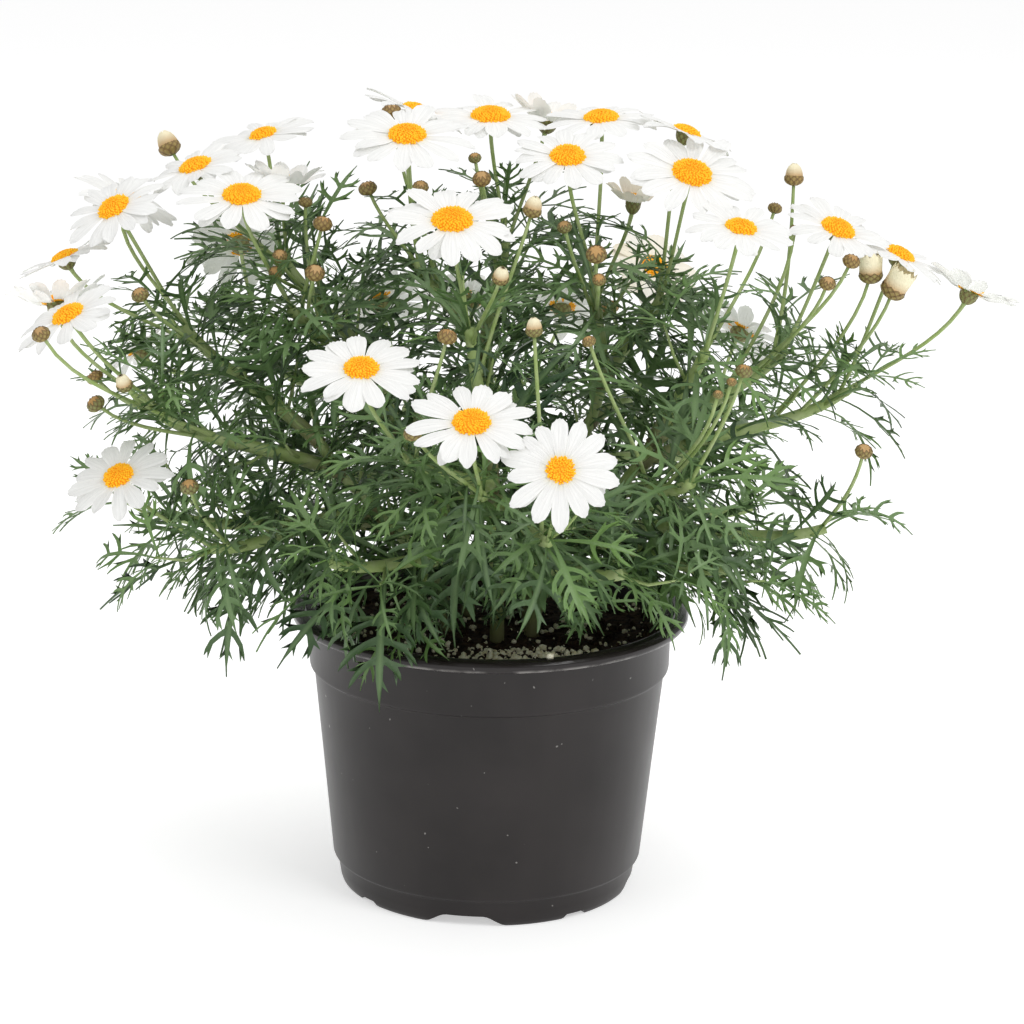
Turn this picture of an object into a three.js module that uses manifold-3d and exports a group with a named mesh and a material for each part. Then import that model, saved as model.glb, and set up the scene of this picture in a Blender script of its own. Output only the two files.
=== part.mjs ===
// Potted marguerite daisy: a bushy plant in flower, standing in a black nursery pot.
// Millimetres, +Z up. The origin is the centre of the pot's underside, and -Y is the front.
// Six leafy stems rise from their own holes in the soil and fork into shoots.
// Each shoot carries leaves, and bare stalks with a bloom or a bud rise from its end.

import * as THREE from 'three';
import { mergeVertices } from 'three/addons/utils/BufferGeometryUtils.js';
import Module from 'manifold-3d';

const wasm = await Module();
wasm.setup();

// Pot
const POT_SIDES = 24;
const POT_HEIGHT = 119.5;
const LIP_RADIUS = 82.5;
const LIP_HEIGHT = 5;
const LIP_INSIDE = 76.5;
const COLLAR_RADIUS = 75.2;
const COLLAR_FOOT = 95;
const COLLAR_STEP = 1.4;
const BODY_TOP_RADIUS = 73;
const BODY_FOOT_RADIUS = 64.6;
const FOOT_TOP = 12.5;
const FOOT_STEP = 7;
const FOOT_RADIUS = 60;
const FOOT_SWELL = 2.3;
const FOOT_INSIDE = 57;
const UNDERSIDE_RADIUS = 47;
const UNDERSIDE_RECESS = 3.5;
const FLOOR_TOP = 6;
const WALL = 2.4;
const FLOOR_RADIUS = 58.6;
const DRAIN_COUNT = 8;
const DRAIN_BEARING = -98;
const WIDE_DRAIN = { height: 4.6, top: 15, bottom: 36 };
const SMALL_DRAIN = { height: 2.2, top: 8, bottom: 13 };
const DRAIN_HOLE_RADIUS = 2.6;
const DRAIN_HOLE_PLACE = 51.5;

// Soil
const SOIL_TOP = 110;
const SOIL_SIDES = 12;
const SOIL_CLEARANCE = 0.45;
const SOIL_ROUGHNESS = 2.4;
const SOIL_RINGS = [0.78, 0.54, 0.28];
const GAP = 0.3;

// Stems
const HOLE_RADIUS = 4.7;
const ROOT_RADIUS = 3.4;
const ROOT_FOOT = 86;
const MAIN_START = 106;
const MAIN_RADIUS = 3.2;
const MAIN_TOP_RADIUS = 2.3;
const MAIN_PIECES = 5;
const SHOOT_RADIUS = 2.1;
const SHOOT_TIP_RADIUS = 1.5;
const SHOOT_PIECES = 2;
const STALK_RADIUS = 1.05;
const FIRST_STALK = 0.97;
const STALK_SPACING = 0.1;
const LONG_STALK = 50;
const CUP_HEIGHT = 4.6;
const CUP_SHARE = 0.42;
const CUP_GAP = 0.45;
const BUD_SMALL = 3.1;
const BUD_LARGE = 3.9;
const BUD_STALK_RADIUS = 0.8;
const JOINT_LENGTH = 4;
const LEAVING_PULL = 0.36;
const ARRIVING_PULL = 0.3;
const SIDES = { main: 5, shoot: 4, 'bloom stalk': 4, 'bud stalk': 4 };

// Leaves
const SEED = 4.2;
const LEAFY_SHARE = { main: [0.3, 1], shoot: [0.1, 1], 'bloom stalk': [0.05, 0.4], 'bud stalk': [0, 0.3] };
const LEAF_SPACING = 6.75;
const LEAF_GROUP = 5;
const LEAF_VARIANTS = 6;
const LEAF_VARIANT_TURN = 47;
const LONG_LEAF = 56;
const LEAF_SHAPES = 8;
const LEAF_LENGTH = [44, 66];
const LEAF_LEAN = [42, 72];
const LEAN_LOSS = 18;
const LEAF_ROLL = 24;
const LEAF_ARCH = [30, 85];
const STEM_YOUTH = 1.12;
const STALK_YOUTH = 0.75;
const YOUTH_LOSS = 0.3;
const GOLDEN_ANGLE = 137.5;
const RIB_HALF_WIDTH = 1.25;
const RIB_DEPTH = 1.3;
const BARE_SHARE = 0.34;
const LOBED_SHARE = 0.72;
const LOBE_AHEAD = [0.08, 0.17];
const LOBE_OUT = [0.17, 0.26];
const LAST_LOBE = 0.72;
const LOBE_FOLD = 0.14;
const LEAF_CLEARANCE = 3;
const TEST_MARGIN = 0.45;
const TEST_SHARES = [0.3, 0.5, 0.75, 1];

// Blooms
const RAY_THICKNESS = 1.1;
const THICKEST_SHARE = 0.45;
const STEEP_THICKEST_SHARE = 0.3;
const DOUBLING_LIFT = 50;
const NOTCH_SHARE = 0.4;
const SHOULDER_SHARE = 0.8;
const PETAL_SAG = 20;
const STEEP_LIFT = 20;
const LIFT_SPREAD = 5;
const PETAL_SHIFT = 0.12;
const SHORT_PETAL = 0.93;
const PETAL_FULLNESS = 2.05;
const DISC_SIDES = 8;
const DOME_SHARE = 0.27;
const FLORET_BUMPS = 0.16;
const BELOW_BLOOM = 7;
const ABOVE_BLOOM = 9;

const up = new THREE.Vector3(0, 0, 1);
const radians = THREE.MathUtils.degToRad;

// A bloom's place is the centre of its flat hub. It faces along a bearing (0 is right, 90 is back)
// tilted away from straight up. Petals lift from the hub by the given degrees, then sag.
// Blooms that share a cluster letter touch each other.
function bloom(place, [bearing, tilt], [width, disc], petals, lift = 6, cluster = '') {
  return { place, bearing, tilt, width, disc, petals, lift, cluster };
}

function shoot(from, to, blooms = [], buds = []) {
  return { from, to, blooms, buds };
}

const stems = [
  {
    name: 'leafy_stem_left',
    root: [-17, -6],
    top: [-72, -20, 196],
    shoots: [
      shoot(0.95, [-126, -4, 236], [
        bloom([-153, -10, 285], [-135, 35], [47, 14], 13, 6, 'a'),
        bloom([-151, 18, 284], [-20, 25], [46, 13], 12, 6, 'a'),
        bloom([-174, -2, 263], [170, 25], [46, 12], 12),
      ], [[-141, -30, 254]]),
      shoot(0.8, [-132, -36, 206], [
        bloom([-174, -33, 251], [115, 20], [46, 12], 12, 42, 'b'),
        bloom([-166, -58, 251], [-150, 30], [46, 14], 12, 6, 'b'),
      ], [[-173, -88, 250], [-144, -64, 225]]),
      shoot(0.6, [-112, -52, 156], [
        bloom([-147, -60, 187], [-120, 35], [44, 13], 13),
      ], [[-118, -74, 187]]),
      shoot(0.5, [-132, -8, 158]),
    ],
  },
  {
    name: 'leafy_stem_left_back',
    root: [-9, 14],
    top: [-52, 14, 222],
    shoots: [
      shoot(0.95, [-88, 16, 262], [
        bloom([-96, 30, 309], [-150, 18], [45, 12], 12),
        bloom([-86, 6, 294], [40, 5], [40, 12], 11, 45, 'd'),
        bloom([-122, 9, 299], [-150, 21], [44, 14], 12, 6, 'd'),
      ], [[-136, 46, 301]]),
      shoot(0.9, [-82, -14, 246], [
        bloom([-101, -23, 293], [-90, 20], [52, 16], 12, 6, 'd'),
      ], [[-69, -20, 282], [-71, -40, 266]]),
      shoot(0.7, [-98, 52, 212], [
        bloom([-109, 72, 256], [100, 70], [46, 13], 12),
        bloom([-153, 85, 206], [150, 40], [44, 12], 12),
      ]),
      shoot(0.45, [-88, 78, 160]),
    ],
  },
  {
    name: 'leafy_stem_front',
    root: [3, -18],
    top: [0, -50, 188],
    shoots: [
      shoot(0.9, [-34, -76, 200], [
        bloom([-50, -105, 242], [-90, 24], [50, 14], 13),
      ], [[-18, -90, 252]]),
      shoot(0.95, [-4, -92, 190], [
        bloom([-8, -135, 229], [-90, 28], [49, 15], 13, 6, 'e'),
      ], [[-30, -118, 221]]),
      shoot(0.85, [22, -100, 174], [
        bloom([25, -149, 215], [-85, 54], [46, 11.5], 14, 4, 'e'),
      ], [[15, -100, 257]]),
      shoot(0.98, [-10, -46, 246], [
        bloom([-17, -60, 291], [-90, 24], [54, 17], 13),
      ], [[2, -80, 273]]),
      shoot(0.5, [-62, -78, 158]),
      shoot(0.5, [52, -80, 156]),
    ],
  },
  {
    name: 'leafy_stem_back',
    root: [3, 18],
    top: [-4, 36, 222],
    shoots: [
      shoot(0.95, [-32, 8, 262], [
        bloom([-36, -10, 316], [-90, 20], [54, 16], 13, 6, 'f'),
        bloom([-33, 30, 320], [20, 20], [46, 13], 12, 6, 'f'),
      ], [[-52, 0, 293]]),
      shoot(0.98, [4, 30, 266], [
        bloom([-3, 30, 318], [-90, 10], [50, 17], 12, 6, 'f'),
        bloom([21, 52, 314], [20, 14], [42, 13], 11, 48, 'f'),
      ], [[-6, -20, 301]]),
      shoot(0.7, [-38, 84, 182], [
        bloom([-51, 130, 220], [110, 50], [48, 14], 13, 6, 'h'),
      ]),
      shoot(0.75, [6, 98, 180], [
        bloom([-11, 136, 220], [90, 45], [48, 14], 12, 6, 'h'),
        bloom([30, 137, 217], [85, 46], [48, 13], 12, 6, 'h'),
      ]),
      shoot(0.4, [30, 92, 148]),
    ],
  },
  {
    name: 'leafy_stem_right_back',
    root: [16, 9],
    top: [46, 18, 214],
    shoots: [
      shoot(0.95, [40, 2, 256], [
        bloom([28, -19, 310], [-90, 23], [46, 15], 12, 6, 'j'),
        bloom([42, 17, 320], [-120, 8], [48, 15], 12, 6, 'j'),
        bloom([56, 18, 287], [0, 5], [30, 10], 10, 56),
      ], [[39, -60, 279]]),
      shoot(0.98, [68, 4, 250], [
        bloom([77, -25, 305], [-70, 30], [54, 17], 13, 6, 'j'),
        bloom([76, 4, 317], [10, 20], [46, 12], 11, 6, 'j'),
      ]),
      shoot(0.8, [66, 66, 200], [
        bloom([69, 100, 243], [-60, 40], [46, 13], 10, 2),
      ], [[50, 96, 226]]),
      shoot(0.6, [92, 84, 168], [
        bloom([109, 120, 211], [50, 45], [48, 14], 12),
      ]),
      shoot(0.45, [110, 40, 152]),
    ],
  },
  {
    name: 'leafy_stem_right',
    root: [17, -10],
    top: [66, -20, 198],
    shoots: [
      shoot(0.98, [84, -36, 236], [
        bloom([95, -55, 289], [-60, 18], [46, 13], 12, 6, 'j'),
      ]),
      shoot(0.95, [118, -12, 232], [
        bloom([137, -10, 281], [-45, 25], [46, 15], 12, 6, 'k'),
      ], [[120, 5, 299], [130, -50, 267]]),
      shoot(0.85, [142, -4, 212], [
        bloom([163, -5, 270], [-10, 25], [44, 13], 11, 6, 'k'),
        bloom([192, -7, 256], [25, 28], [43, 12], 11, 30, 'k'),
      ], [[159, -24, 260]]),
      shoot(0.5, [136, -22, 160], [], [[146, -60, 202]]),
      shoot(0.7, [78, -68, 190], [], [[96, -84, 239]]),
      shoot(0.45, [94, -50, 150]),
    ],
  },
];

const material = (color, roughness) => new THREE.MeshStandardMaterial({ color, roughness, metalness: 0 });
const potPlastic = material(0x3b3736, 0.45);
const soilBrown = material(0x2a211b, 0.95);
const leafGreen = material(0x48694f, 0.6);
const rayWhite = material(0xf6f6f2, 0.55);
const discYellow = material(0xfdac2d, 0.8);

// A repeatable draw between 0 and 1 for one numbered thing and one of its properties.
function draw(index, channel) {
  const wave = Math.sin(index * 12.9898 + channel * 78.233 + SEED) * 43758.5453;
  return wave - Math.floor(wave);
}

function between(low, high, index, channel) {
  return low + (high - low) * draw(index, channel);
}

// A closed solid from any geometry: shared corners are merged, flat triangles dropped, faces turned out.
function solidOf(geometry) {
  const bare = new THREE.BufferGeometry();
  bare.setAttribute('position', geometry.attributes.position);
  if (geometry.index) {
    bare.setIndex(geometry.index);
  }
  const merged = mergeVertices(bare, 1e-3);
  const corners = merged.attributes.position.array;
  const triangles = [];
  const order = merged.index.array;
  for (let i = 0; i < order.length; i += 3) {
    const [a, b, c] = order.slice(i, i + 3);
    if (a !== b && b !== c && c !== a) {
      triangles.push([a, b, c]);
    }
  }
  if (signedVolume(corners, triangles) < 0) {
    triangles.forEach((triangle) => triangle.reverse());
  }
  const mesh = new wasm.Mesh({
    numProp: 3,
    vertProperties: new Float32Array(corners),
    triVerts: new Uint32Array(triangles.flat()),
  });
  return new wasm.Manifold(mesh);
}

function signedVolume(corners, triangles) {
  const corner = (index) => new THREE.Vector3().fromArray(corners, index * 3);
  return triangles.reduce((sum, [a, b, c]) => sum + corner(a).dot(corner(b).cross(corner(c))) / 6, 0);
}

function geometryOf(solid) {
  const mesh = solid.getMesh();
  const geometry = new THREE.BufferGeometry();
  geometry.setAttribute('position', new THREE.BufferAttribute(mesh.vertProperties, 3));
  geometry.setIndex(new THREE.BufferAttribute(mesh.triVerts, 1));
  geometry.computeVertexNormals();
  return geometry;
}

function geometryFrom(corners, triangles) {
  const geometry = new THREE.BufferGeometry();
  geometry.setAttribute('position', new THREE.Float32BufferAttribute(corners.flatMap((p) => p.toArray()), 3));
  geometry.setIndex(triangles.flat());
  return geometry;
}

function named(name, geometry, look) {
  const mesh = new THREE.Mesh(geometry, look.clone());
  mesh.name = name;
  return mesh;
}

// A body of revolution about Z from [radius, height] pairs.
function turned(profile, sides) {
  const points = profile.map(([radius, height]) => new THREE.Vector2(radius, height));
  return new THREE.LatheGeometry(points, sides).rotateX(Math.PI / 2);
}

function aimed(bearing, tilt) {
  const lean = Math.sin(radians(tilt));
  const toRight = lean * Math.cos(radians(bearing));
  const toBack = lean * Math.sin(radians(bearing));
  return new THREE.Vector3(toRight, toBack, Math.cos(radians(tilt)));
}

// The inner radius of the pot's wall at a height.
function innerWall(height) {
  const share = (height - FOOT_TOP) / (COLLAR_FOOT - FOOT_TOP);
  return THREE.MathUtils.lerp(BODY_FOOT_RADIUS, BODY_TOP_RADIUS, share) - WALL;
}

function makePot() {
  const lipFoot = POT_HEIGHT - LIP_HEIGHT;
  const shell = solidOf(turned([
    [0, 0],
    [UNDERSIDE_RADIUS, 0],
    [UNDERSIDE_RADIUS + 1, UNDERSIDE_RECESS],
    [FOOT_INSIDE - 1, UNDERSIDE_RECESS],
    [FOOT_INSIDE, 0],
    [FOOT_RADIUS, 0],
    [FOOT_RADIUS + FOOT_SWELL * 0.8, FOOT_STEP * 0.3],
    [FOOT_RADIUS + FOOT_SWELL, FOOT_STEP],
    [BODY_FOOT_RADIUS, FOOT_TOP],
    [BODY_TOP_RADIUS, COLLAR_FOOT - COLLAR_STEP],
    [COLLAR_RADIUS - 0.6, COLLAR_FOOT],
    [COLLAR_RADIUS, lipFoot - 1],
    [LIP_RADIUS, POT_HEIGHT - 3],
    [LIP_RADIUS - 1, POT_HEIGHT],
    [LIP_INSIDE, POT_HEIGHT],
    [innerWall(lipFoot), lipFoot],
    [innerWall(FOOT_TOP), FOOT_TOP],
    [FLOOR_RADIUS, FLOOR_TOP],
    [0, FLOOR_TOP],
  ], POT_SIDES));
  return makeDrains().reduce((pot, drain) => pot.subtract(drain), shell);
}

// Low arches in the foot, wide and small by turns. A hole through the floor is behind each wide one.
function makeDrains() {
  const reach = FOOT_RADIUS - UNDERSIDE_RADIUS + 4;
  const drains = [];
  for (let i = 0; i < DRAIN_COUNT; i += 1) {
    const { height, top, bottom } = i % 2 ? SMALL_DRAIN : WIDE_DRAIN;
    const arch = new THREE.Shape([
      new THREE.Vector2(-bottom / 2, -1),
      new THREE.Vector2(bottom / 2, -1),
      new THREE.Vector2(top / 2, height),
      new THREE.Vector2(-top / 2, height),
    ]);
    const turn = radians(DRAIN_BEARING + (360 / DRAIN_COUNT) * i);
    const cut = new THREE.ExtrudeGeometry(arch, { depth: reach, steps: 1, bevelEnabled: false });
    cut.rotateX(Math.PI / 2).rotateZ(Math.PI).translate(0, FOOT_INSIDE - 2.5, 0).rotateZ(turn - Math.PI / 2);
    drains.push(solidOf(cut));
    if (i % 2 === 0) {
      const hole = new THREE.CylinderGeometry(DRAIN_HOLE_RADIUS, DRAIN_HOLE_RADIUS, 2 * FLOOR_TOP, 5);
      hole.rotateX(Math.PI / 2).translate(DRAIN_HOLE_PLACE, 0, FLOOR_TOP).rotateZ(turn);
      drains.push(solidOf(hole));
    }
  }
  return drains;
}

// Soil fills the pot to just under its lip. Its top is uneven, and each stem stands in a plain hole.
function makeSoil() {
  const foot = FLOOR_TOP + SOIL_CLEARANCE;
  const edge = innerWall(SOIL_TOP) - SOIL_CLEARANCE;
  const geometry = turned([
    [0, foot],
    [FLOOR_RADIUS - SOIL_CLEARANCE, foot],
    [innerWall(FOOT_TOP) - SOIL_CLEARANCE, FOOT_TOP],
    [edge, SOIL_TOP - 1],
    ...SOIL_RINGS.map((share) => [edge * share, SOIL_TOP]),
    [0, SOIL_TOP],
  ], SOIL_SIDES);
  const position = geometry.attributes.position;
  for (let i = 0; i < position.count; i += 1) {
    const [x, y, z] = [position.getX(i), position.getY(i), position.getZ(i)];
    if (z > SOIL_TOP - 0.5 && Math.hypot(x, y) > 1) {
      const lump = draw(Math.round(x) * 31 + Math.round(y), 1) - 0.5;
      position.setZ(i, z + lump * SOIL_ROUGHNESS);
    }
  }
  return stems.reduce((soil, stem) => {
    const hole = new THREE.CylinderGeometry(HOLE_RADIUS, HOLE_RADIUS, 60, 6).rotateX(Math.PI / 2);
    hole.translate(stem.root[0], stem.root[1], ROOT_FOOT - GAP + 30);
    return soil.subtract(solidOf(hole));
  }, solidOf(geometry));
}

// A growing line that leaves its start along one heading and reaches its end along another.
function growth(start, heading, end, arrival) {
  const length = start.distanceTo(end);
  const leave = start.clone().addScaledVector(heading, length * LEAVING_PULL);
  const reach = end.clone().addScaledVector(arrival, length * -ARRIVING_PULL);
  return new THREE.CubicBezierCurve3(start, leave, reach, end);
}

// A turned body bent along a line. The profile gives [distance along the line, radius] pairs.
function bent(line, profile, sides) {
  const length = line.getLength();
  const points = profile.map(([distance, radius]) => new THREE.Vector2(radius, distance));
  const geometry = new THREE.LatheGeometry(points, sides);
  const position = geometry.attributes.position;
  const run = line.getPoint(1).sub(line.getPoint(0));
  const steep = Math.hypot(run.x, run.y) < 0.2 * run.length();
  const reference = steep ? new THREE.Vector3(1, 0, 0) : new THREE.Vector3(run.y, -run.x, 0).normalize();
  for (let i = 0; i < position.count; i += 1) {
    const share = THREE.MathUtils.clamp(position.getY(i) / length, 0, 1);
    const tangent = line.getTangentAt(share);
    const across = reference.clone().addScaledVector(tangent, -reference.dot(tangent)).normalize();
    const third = tangent.clone().cross(across);
    const place = line.getPointAt(share);
    place.addScaledVector(across, position.getX(i)).addScaledVector(third, position.getZ(i));
    position.setXYZ(i, place.x, place.y, place.z);
  }
  return solidOf(geometry);
}

// A plain stem that tapers between two radii. It starts as a point inside what it grows from.
function taperProfile(length, startRadius, endRadius, pieces) {
  const profile = [[0, 0]];
  for (let i = 0; i <= pieces; i += 1) {
    const share = i / pieces;
    const distance = THREE.MathUtils.lerp(JOINT_LENGTH, length, share);
    profile.push([distance, THREE.MathUtils.lerp(startRadius, endRadius, share)]);
  }
  return [...profile, [length, 0]];
}

function mainLine(stem) {
  const start = new THREE.Vector3(stem.root[0], stem.root[1], MAIN_START);
  const end = new THREE.Vector3(...stem.top);
  const way = end.clone().sub(start).normalize();
  return growth(start, up, end, way.multiplyScalar(3).add(up).normalize());
}

function shootLine(main, { from, to }) {
  const start = middleOf(main, from);
  const end = new THREE.Vector3(...to);
  const way = end.clone().sub(start).normalize();
  const heading = main.line.getTangentAt(from).addScaledVector(way, 2.5).normalize();
  const arrival = way.clone().multiplyScalar(3).add(up).normalize();
  return growth(start, heading, end, arrival);
}

// Stalks leave a shoot near its end, each one a little below the one before.
function stalkLine(parent, end, arrival, order) {
  const from = FIRST_STALK - STALK_SPACING * order;
  const start = middleOf(parent, from);
  const way = end.clone().sub(start).normalize();
  const heading = parent.line.getTangentAt(from).addScaledVector(way, 4).normalize();
  return growth(start, heading, end, arrival);
}

// The bare stalk of a bloom, widening at its top into the green cup under the petals.
function bloomStalkProfile(length, flower) {
  const cupRadius = flower.disc * CUP_SHARE;
  const middle = length > LONG_STALK ? [[length * 0.5, STALK_RADIUS]] : [];
  return [
    [0, 0],
    [JOINT_LENGTH, STALK_RADIUS],
    ...middle,
    [length - CUP_HEIGHT - 2, STALK_RADIUS],
    [length - CUP_HEIGHT * 0.6, cupRadius * 0.75],
    [length, cupRadius],
    [length, 0],
  ];
}

function budStalkProfile(length, number) {
  const size = between(BUD_SMALL, BUD_LARGE, number, 3);
  return [
    [0, 0],
    [JOINT_LENGTH, BUD_STALK_RADIUS],
    [length - size * 2, BUD_STALK_RADIUS],
    [length - size * 1.35, size * 0.95],
    [length - size * 0.45, size * 0.9],
    [length, 0],
  ];
}

// Everything that leaves grow on, with its running number and its solid.
function layOut(stem, numbers) {
  const axes = [];
  const grow = (kind, line, flower) => {
    numbers.axis += 1;
    const profile = profileOf(kind, line.getLength(), numbers.axis, flower);
    const axis = { kind, line, profile, number: numbers.axis, solid: bent(line, profile, SIDES[kind]) };
    axes.push(axis);
    return axis;
  };
  const main = grow('main', mainLine(stem));
  for (const part of stem.shoots) {
    const parent = grow('shoot', shootLine(main, part));
    part.blooms.forEach((flower, order) => {
      const facing = aimed(flower.bearing, flower.tilt);
      const foot = new THREE.Vector3(...flower.place).addScaledVector(facing, -hubDepth(flower) - CUP_GAP);
      grow('bloom stalk', stalkLine(parent, foot, facing, order), flower);
    });
    part.buds.forEach((place, order) => {
      const middle = new THREE.Vector3(...place);
      const rise = middle.clone().sub(parent.line.getPoint(1)).normalize().add(up).normalize();
      const tip = middle.addScaledVector(rise, BUD_SMALL);
      grow('bud stalk', stalkLine(parent, tip, rise, order + part.blooms.length));
    });
  }
  return axes;
}

function woodOf(stem, axes) {
  const peg = new THREE.CylinderGeometry(ROOT_RADIUS, ROOT_RADIUS, MAIN_START + 2 - ROOT_FOOT, 6);
  peg.rotateX(Math.PI / 2).translate(stem.root[0], stem.root[1], (MAIN_START + 2 + ROOT_FOOT) / 2);
  return axes.reduce((wood, axis) => wood.add(axis.solid), solidOf(peg));
}

function profileOf(kind, length, number, flower) {
  if (kind === 'main') {
    return taperProfile(length, MAIN_RADIUS, MAIN_TOP_RADIUS, MAIN_PIECES);
  }
  if (kind === 'shoot') {
    return taperProfile(length, SHOOT_RADIUS, SHOOT_TIP_RADIUS, SHOOT_PIECES);
  }
  return kind === 'bloom stalk' ? bloomStalkProfile(length, flower) : budStalkProfile(length, number);
}

// The middle of a stem at a share of its length, on the straight run between two of its rings.
function middleOf({ line, profile }, share) {
  const length = line.getLength();
  const distance = length * share;
  const next = profile.findIndex(([reach]) => reach > distance);
  const [from, to] = [profile[next - 1][0], profile[next][0]];
  const start = line.getPointAt(from / length);
  return start.lerp(line.getPointAt(to / length), (distance - from) / (to - from));
}

// The places for leaves on one axis, spiralling round it.
function slotsOn({ line, kind, number }) {
  const [low, high] = LEAFY_SHARE[kind];
  const count = Math.floor((line.getLength() * (high - low)) / LEAF_SPACING);
  const slots = [];
  for (let i = 0; i < count; i += 1) {
    const share = THREE.MathUtils.lerp(low, high, (i + 0.5) / count);
    slots.push({ share, id: number * 100 + i, turn: number * 50 + i * GOLDEN_ANGLE });
  }
  return slots;
}

// A leaf is an arched blade: it leaves the stem at an angle and curves back over its length.
function leafOn(axis, { share, id, turn }, variant) {
  const tangent = axis.line.getTangentAt(share);
  const reference = Math.abs(tangent.z) < 0.9 ? up : new THREE.Vector3(1, 0, 0);
  const first = tangent.clone().cross(reference).normalize();
  const second = tangent.clone().cross(first);
  const bearing = radians(turn + variant * LEAF_VARIANT_TURN);
  const radial = first.multiplyScalar(Math.cos(bearing)).addScaledVector(second, Math.sin(bearing));
  const lean = radians(between(...LEAF_LEAN, id, 1) - LEAN_LOSS * share);
  const along = radial.clone().multiplyScalar(Math.sin(lean)).addScaledVector(tangent, Math.cos(lean));
  const sky = tangent.clone().multiplyScalar(0.6).addScaledVector(up, 0.5);
  const normal = sky.addScaledVector(along, -sky.dot(along)).normalize();
  const side = normal.clone().cross(along);
  const roll = radians(between(-LEAF_ROLL, LEAF_ROLL, id, 2));
  const top = normal.multiplyScalar(Math.cos(roll)).addScaledVector(side, Math.sin(roll));
  const youth = (axis.kind.includes('stalk') ? STALK_YOUTH : STEM_YOUTH) - YOUTH_LOSS * share;
  const length = between(...LEAF_LENGTH, id, 3) * youth;
  const bend = -radians(between(...LEAF_ARCH, id, 4)) / length;
  return { foot: middleOf(axis, share), along, side: top.clone().cross(along), top, length, bend, id };
}

// A point of the arched blade: distance along the rib, to the left of it, and above it.
function onBlade({ foot, along, side, top, bend }, distance, across, height) {
  const angle = bend * distance;
  const point = foot.clone().addScaledVector(side, across);
  point.addScaledVector(along, Math.sin(angle) / bend - Math.sin(angle) * height);
  return point.addScaledVector(top, (1 - Math.cos(angle)) / bend + Math.cos(angle) * height);
}

// The lobes of a leaf, from its foot to its tip, as [start, end, how far ahead, how far out] on each side.
function lobesOf({ length, id }) {
  const count = length > LONG_LEAF ? 3 : 2;
  const pitch = (LOBED_SHARE - BARE_SHARE) / count;
  const shape = id % LEAF_SHAPES;
  const lobes = [];
  for (let i = 0; i < count; i += 1) {
    const start = length * (BARE_SHARE + pitch * i);
    const end = length * (BARE_SHARE + pitch * (i + 1));
    const size = i === count - 1 ? LAST_LOBE : 1;
    const sides = [1, -1].map((hand) => ({
      ahead: length * between(...LOBE_AHEAD, shape, 10 + i * 2 + hand),
      out: length * size * between(...LOBE_OUT, shape, 20 + i * 2 + hand),
    }));
    lobes.push({ start, end, left: sides[0], right: sides[1] });
  }
  return lobes;
}

// The blade's upper face is a strip along the rib with a pointed lobe at each step; a keel runs below.
function bladeGeometry(leaf, margin = 0) {
  const lobes = lobesOf(leaf);
  const half = RIB_HALF_WIDTH + margin;
  const corners = [];
  const triangles = [];
  const add = (distance, across, height) => corners.push(onBlade(leaf, distance, across, height)) - 1;
  const station = (distance, width) => [add(distance, width, margin), add(distance, -width, margin)];
  const keel = (distance, depth = RIB_DEPTH) => add(distance, 0, -depth - margin);
  let [left, right] = station(0, half * 0.45);
  let below = keel(0, RIB_DEPTH * 0.6);
  triangles.push([left, below, right]);
  const strip = (distance, next) => {
    const [nextLeft, nextRight] = station(distance, half);
    triangles.push([right, nextRight, nextLeft], [right, nextLeft, left]);
    return [nextLeft, nextRight, next];
  };
  lobes.forEach((lobe, i) => {
    if (i === 0) {
      const [nextLeft, nextRight] = strip(lobe.start);
      triangles.push([left, nextLeft, below], [right, below, nextRight]);
      [left, right] = [nextLeft, nextRight];
    }
    const middle = keel((lobe.start + lobe.end) / 2);
    triangles.push([below, left, middle], [below, middle, right]);
    const [nextLeft, nextRight] = strip(lobe.end);
    const tips = [lobe.left, lobe.right].map(({ ahead, out }, side) => {
      const reach = out + margin;
      return add(lobe.end + ahead + margin, side ? -reach : reach, reach * LOBE_FOLD + margin);
    });
    triangles.push([left, nextLeft, tips[0]], [nextRight, right, tips[1]]);
    triangles.push([middle, left, tips[0]], [middle, tips[0], nextLeft]);
    triangles.push([middle, tips[1], right], [middle, nextRight, tips[1]]);
    [left, right, below] = [nextLeft, nextRight, middle];
  });
  const apex = add(leaf.length + margin, 0, margin);
  triangles.push([right, apex, left], [below, left, apex], [below, apex, right]);
  return geometryFrom(corners, triangles);
}

const flowers = stems.flatMap((stem) => stem.shoots.flatMap((part) => part.blooms));

// True where a point of a leaf would be in the pot, in the soil or among the petals of a bloom.
function isTaken(point) {
  const out = Math.hypot(point.x, point.y);
  const atLip = out > BODY_TOP_RADIUS - LEAF_CLEARANCE && out < LIP_RADIUS + LEAF_CLEARANCE;
  const inPot = point.z < POT_HEIGHT + LEAF_CLEARANCE && atLip;
  const inSoil = point.z < SOIL_TOP + LEAF_CLEARANCE && out < LIP_RADIUS;
  return inPot || inSoil || point.z < LEAF_CLEARANCE || flowers.some((flower) => isAmongPetals(point, flower));
}

function isAmongPetals(point, flower) {
  const offset = point.clone().sub(new THREE.Vector3(...flower.place));
  const height = offset.dot(aimed(flower.bearing, flower.tilt));
  const out = Math.sqrt(Math.max(0, offset.lengthSq() - height * height));
  return height > -BELOW_BLOOM && height < ABOVE_BLOOM && out < flower.width / 2 + 2;
}

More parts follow.
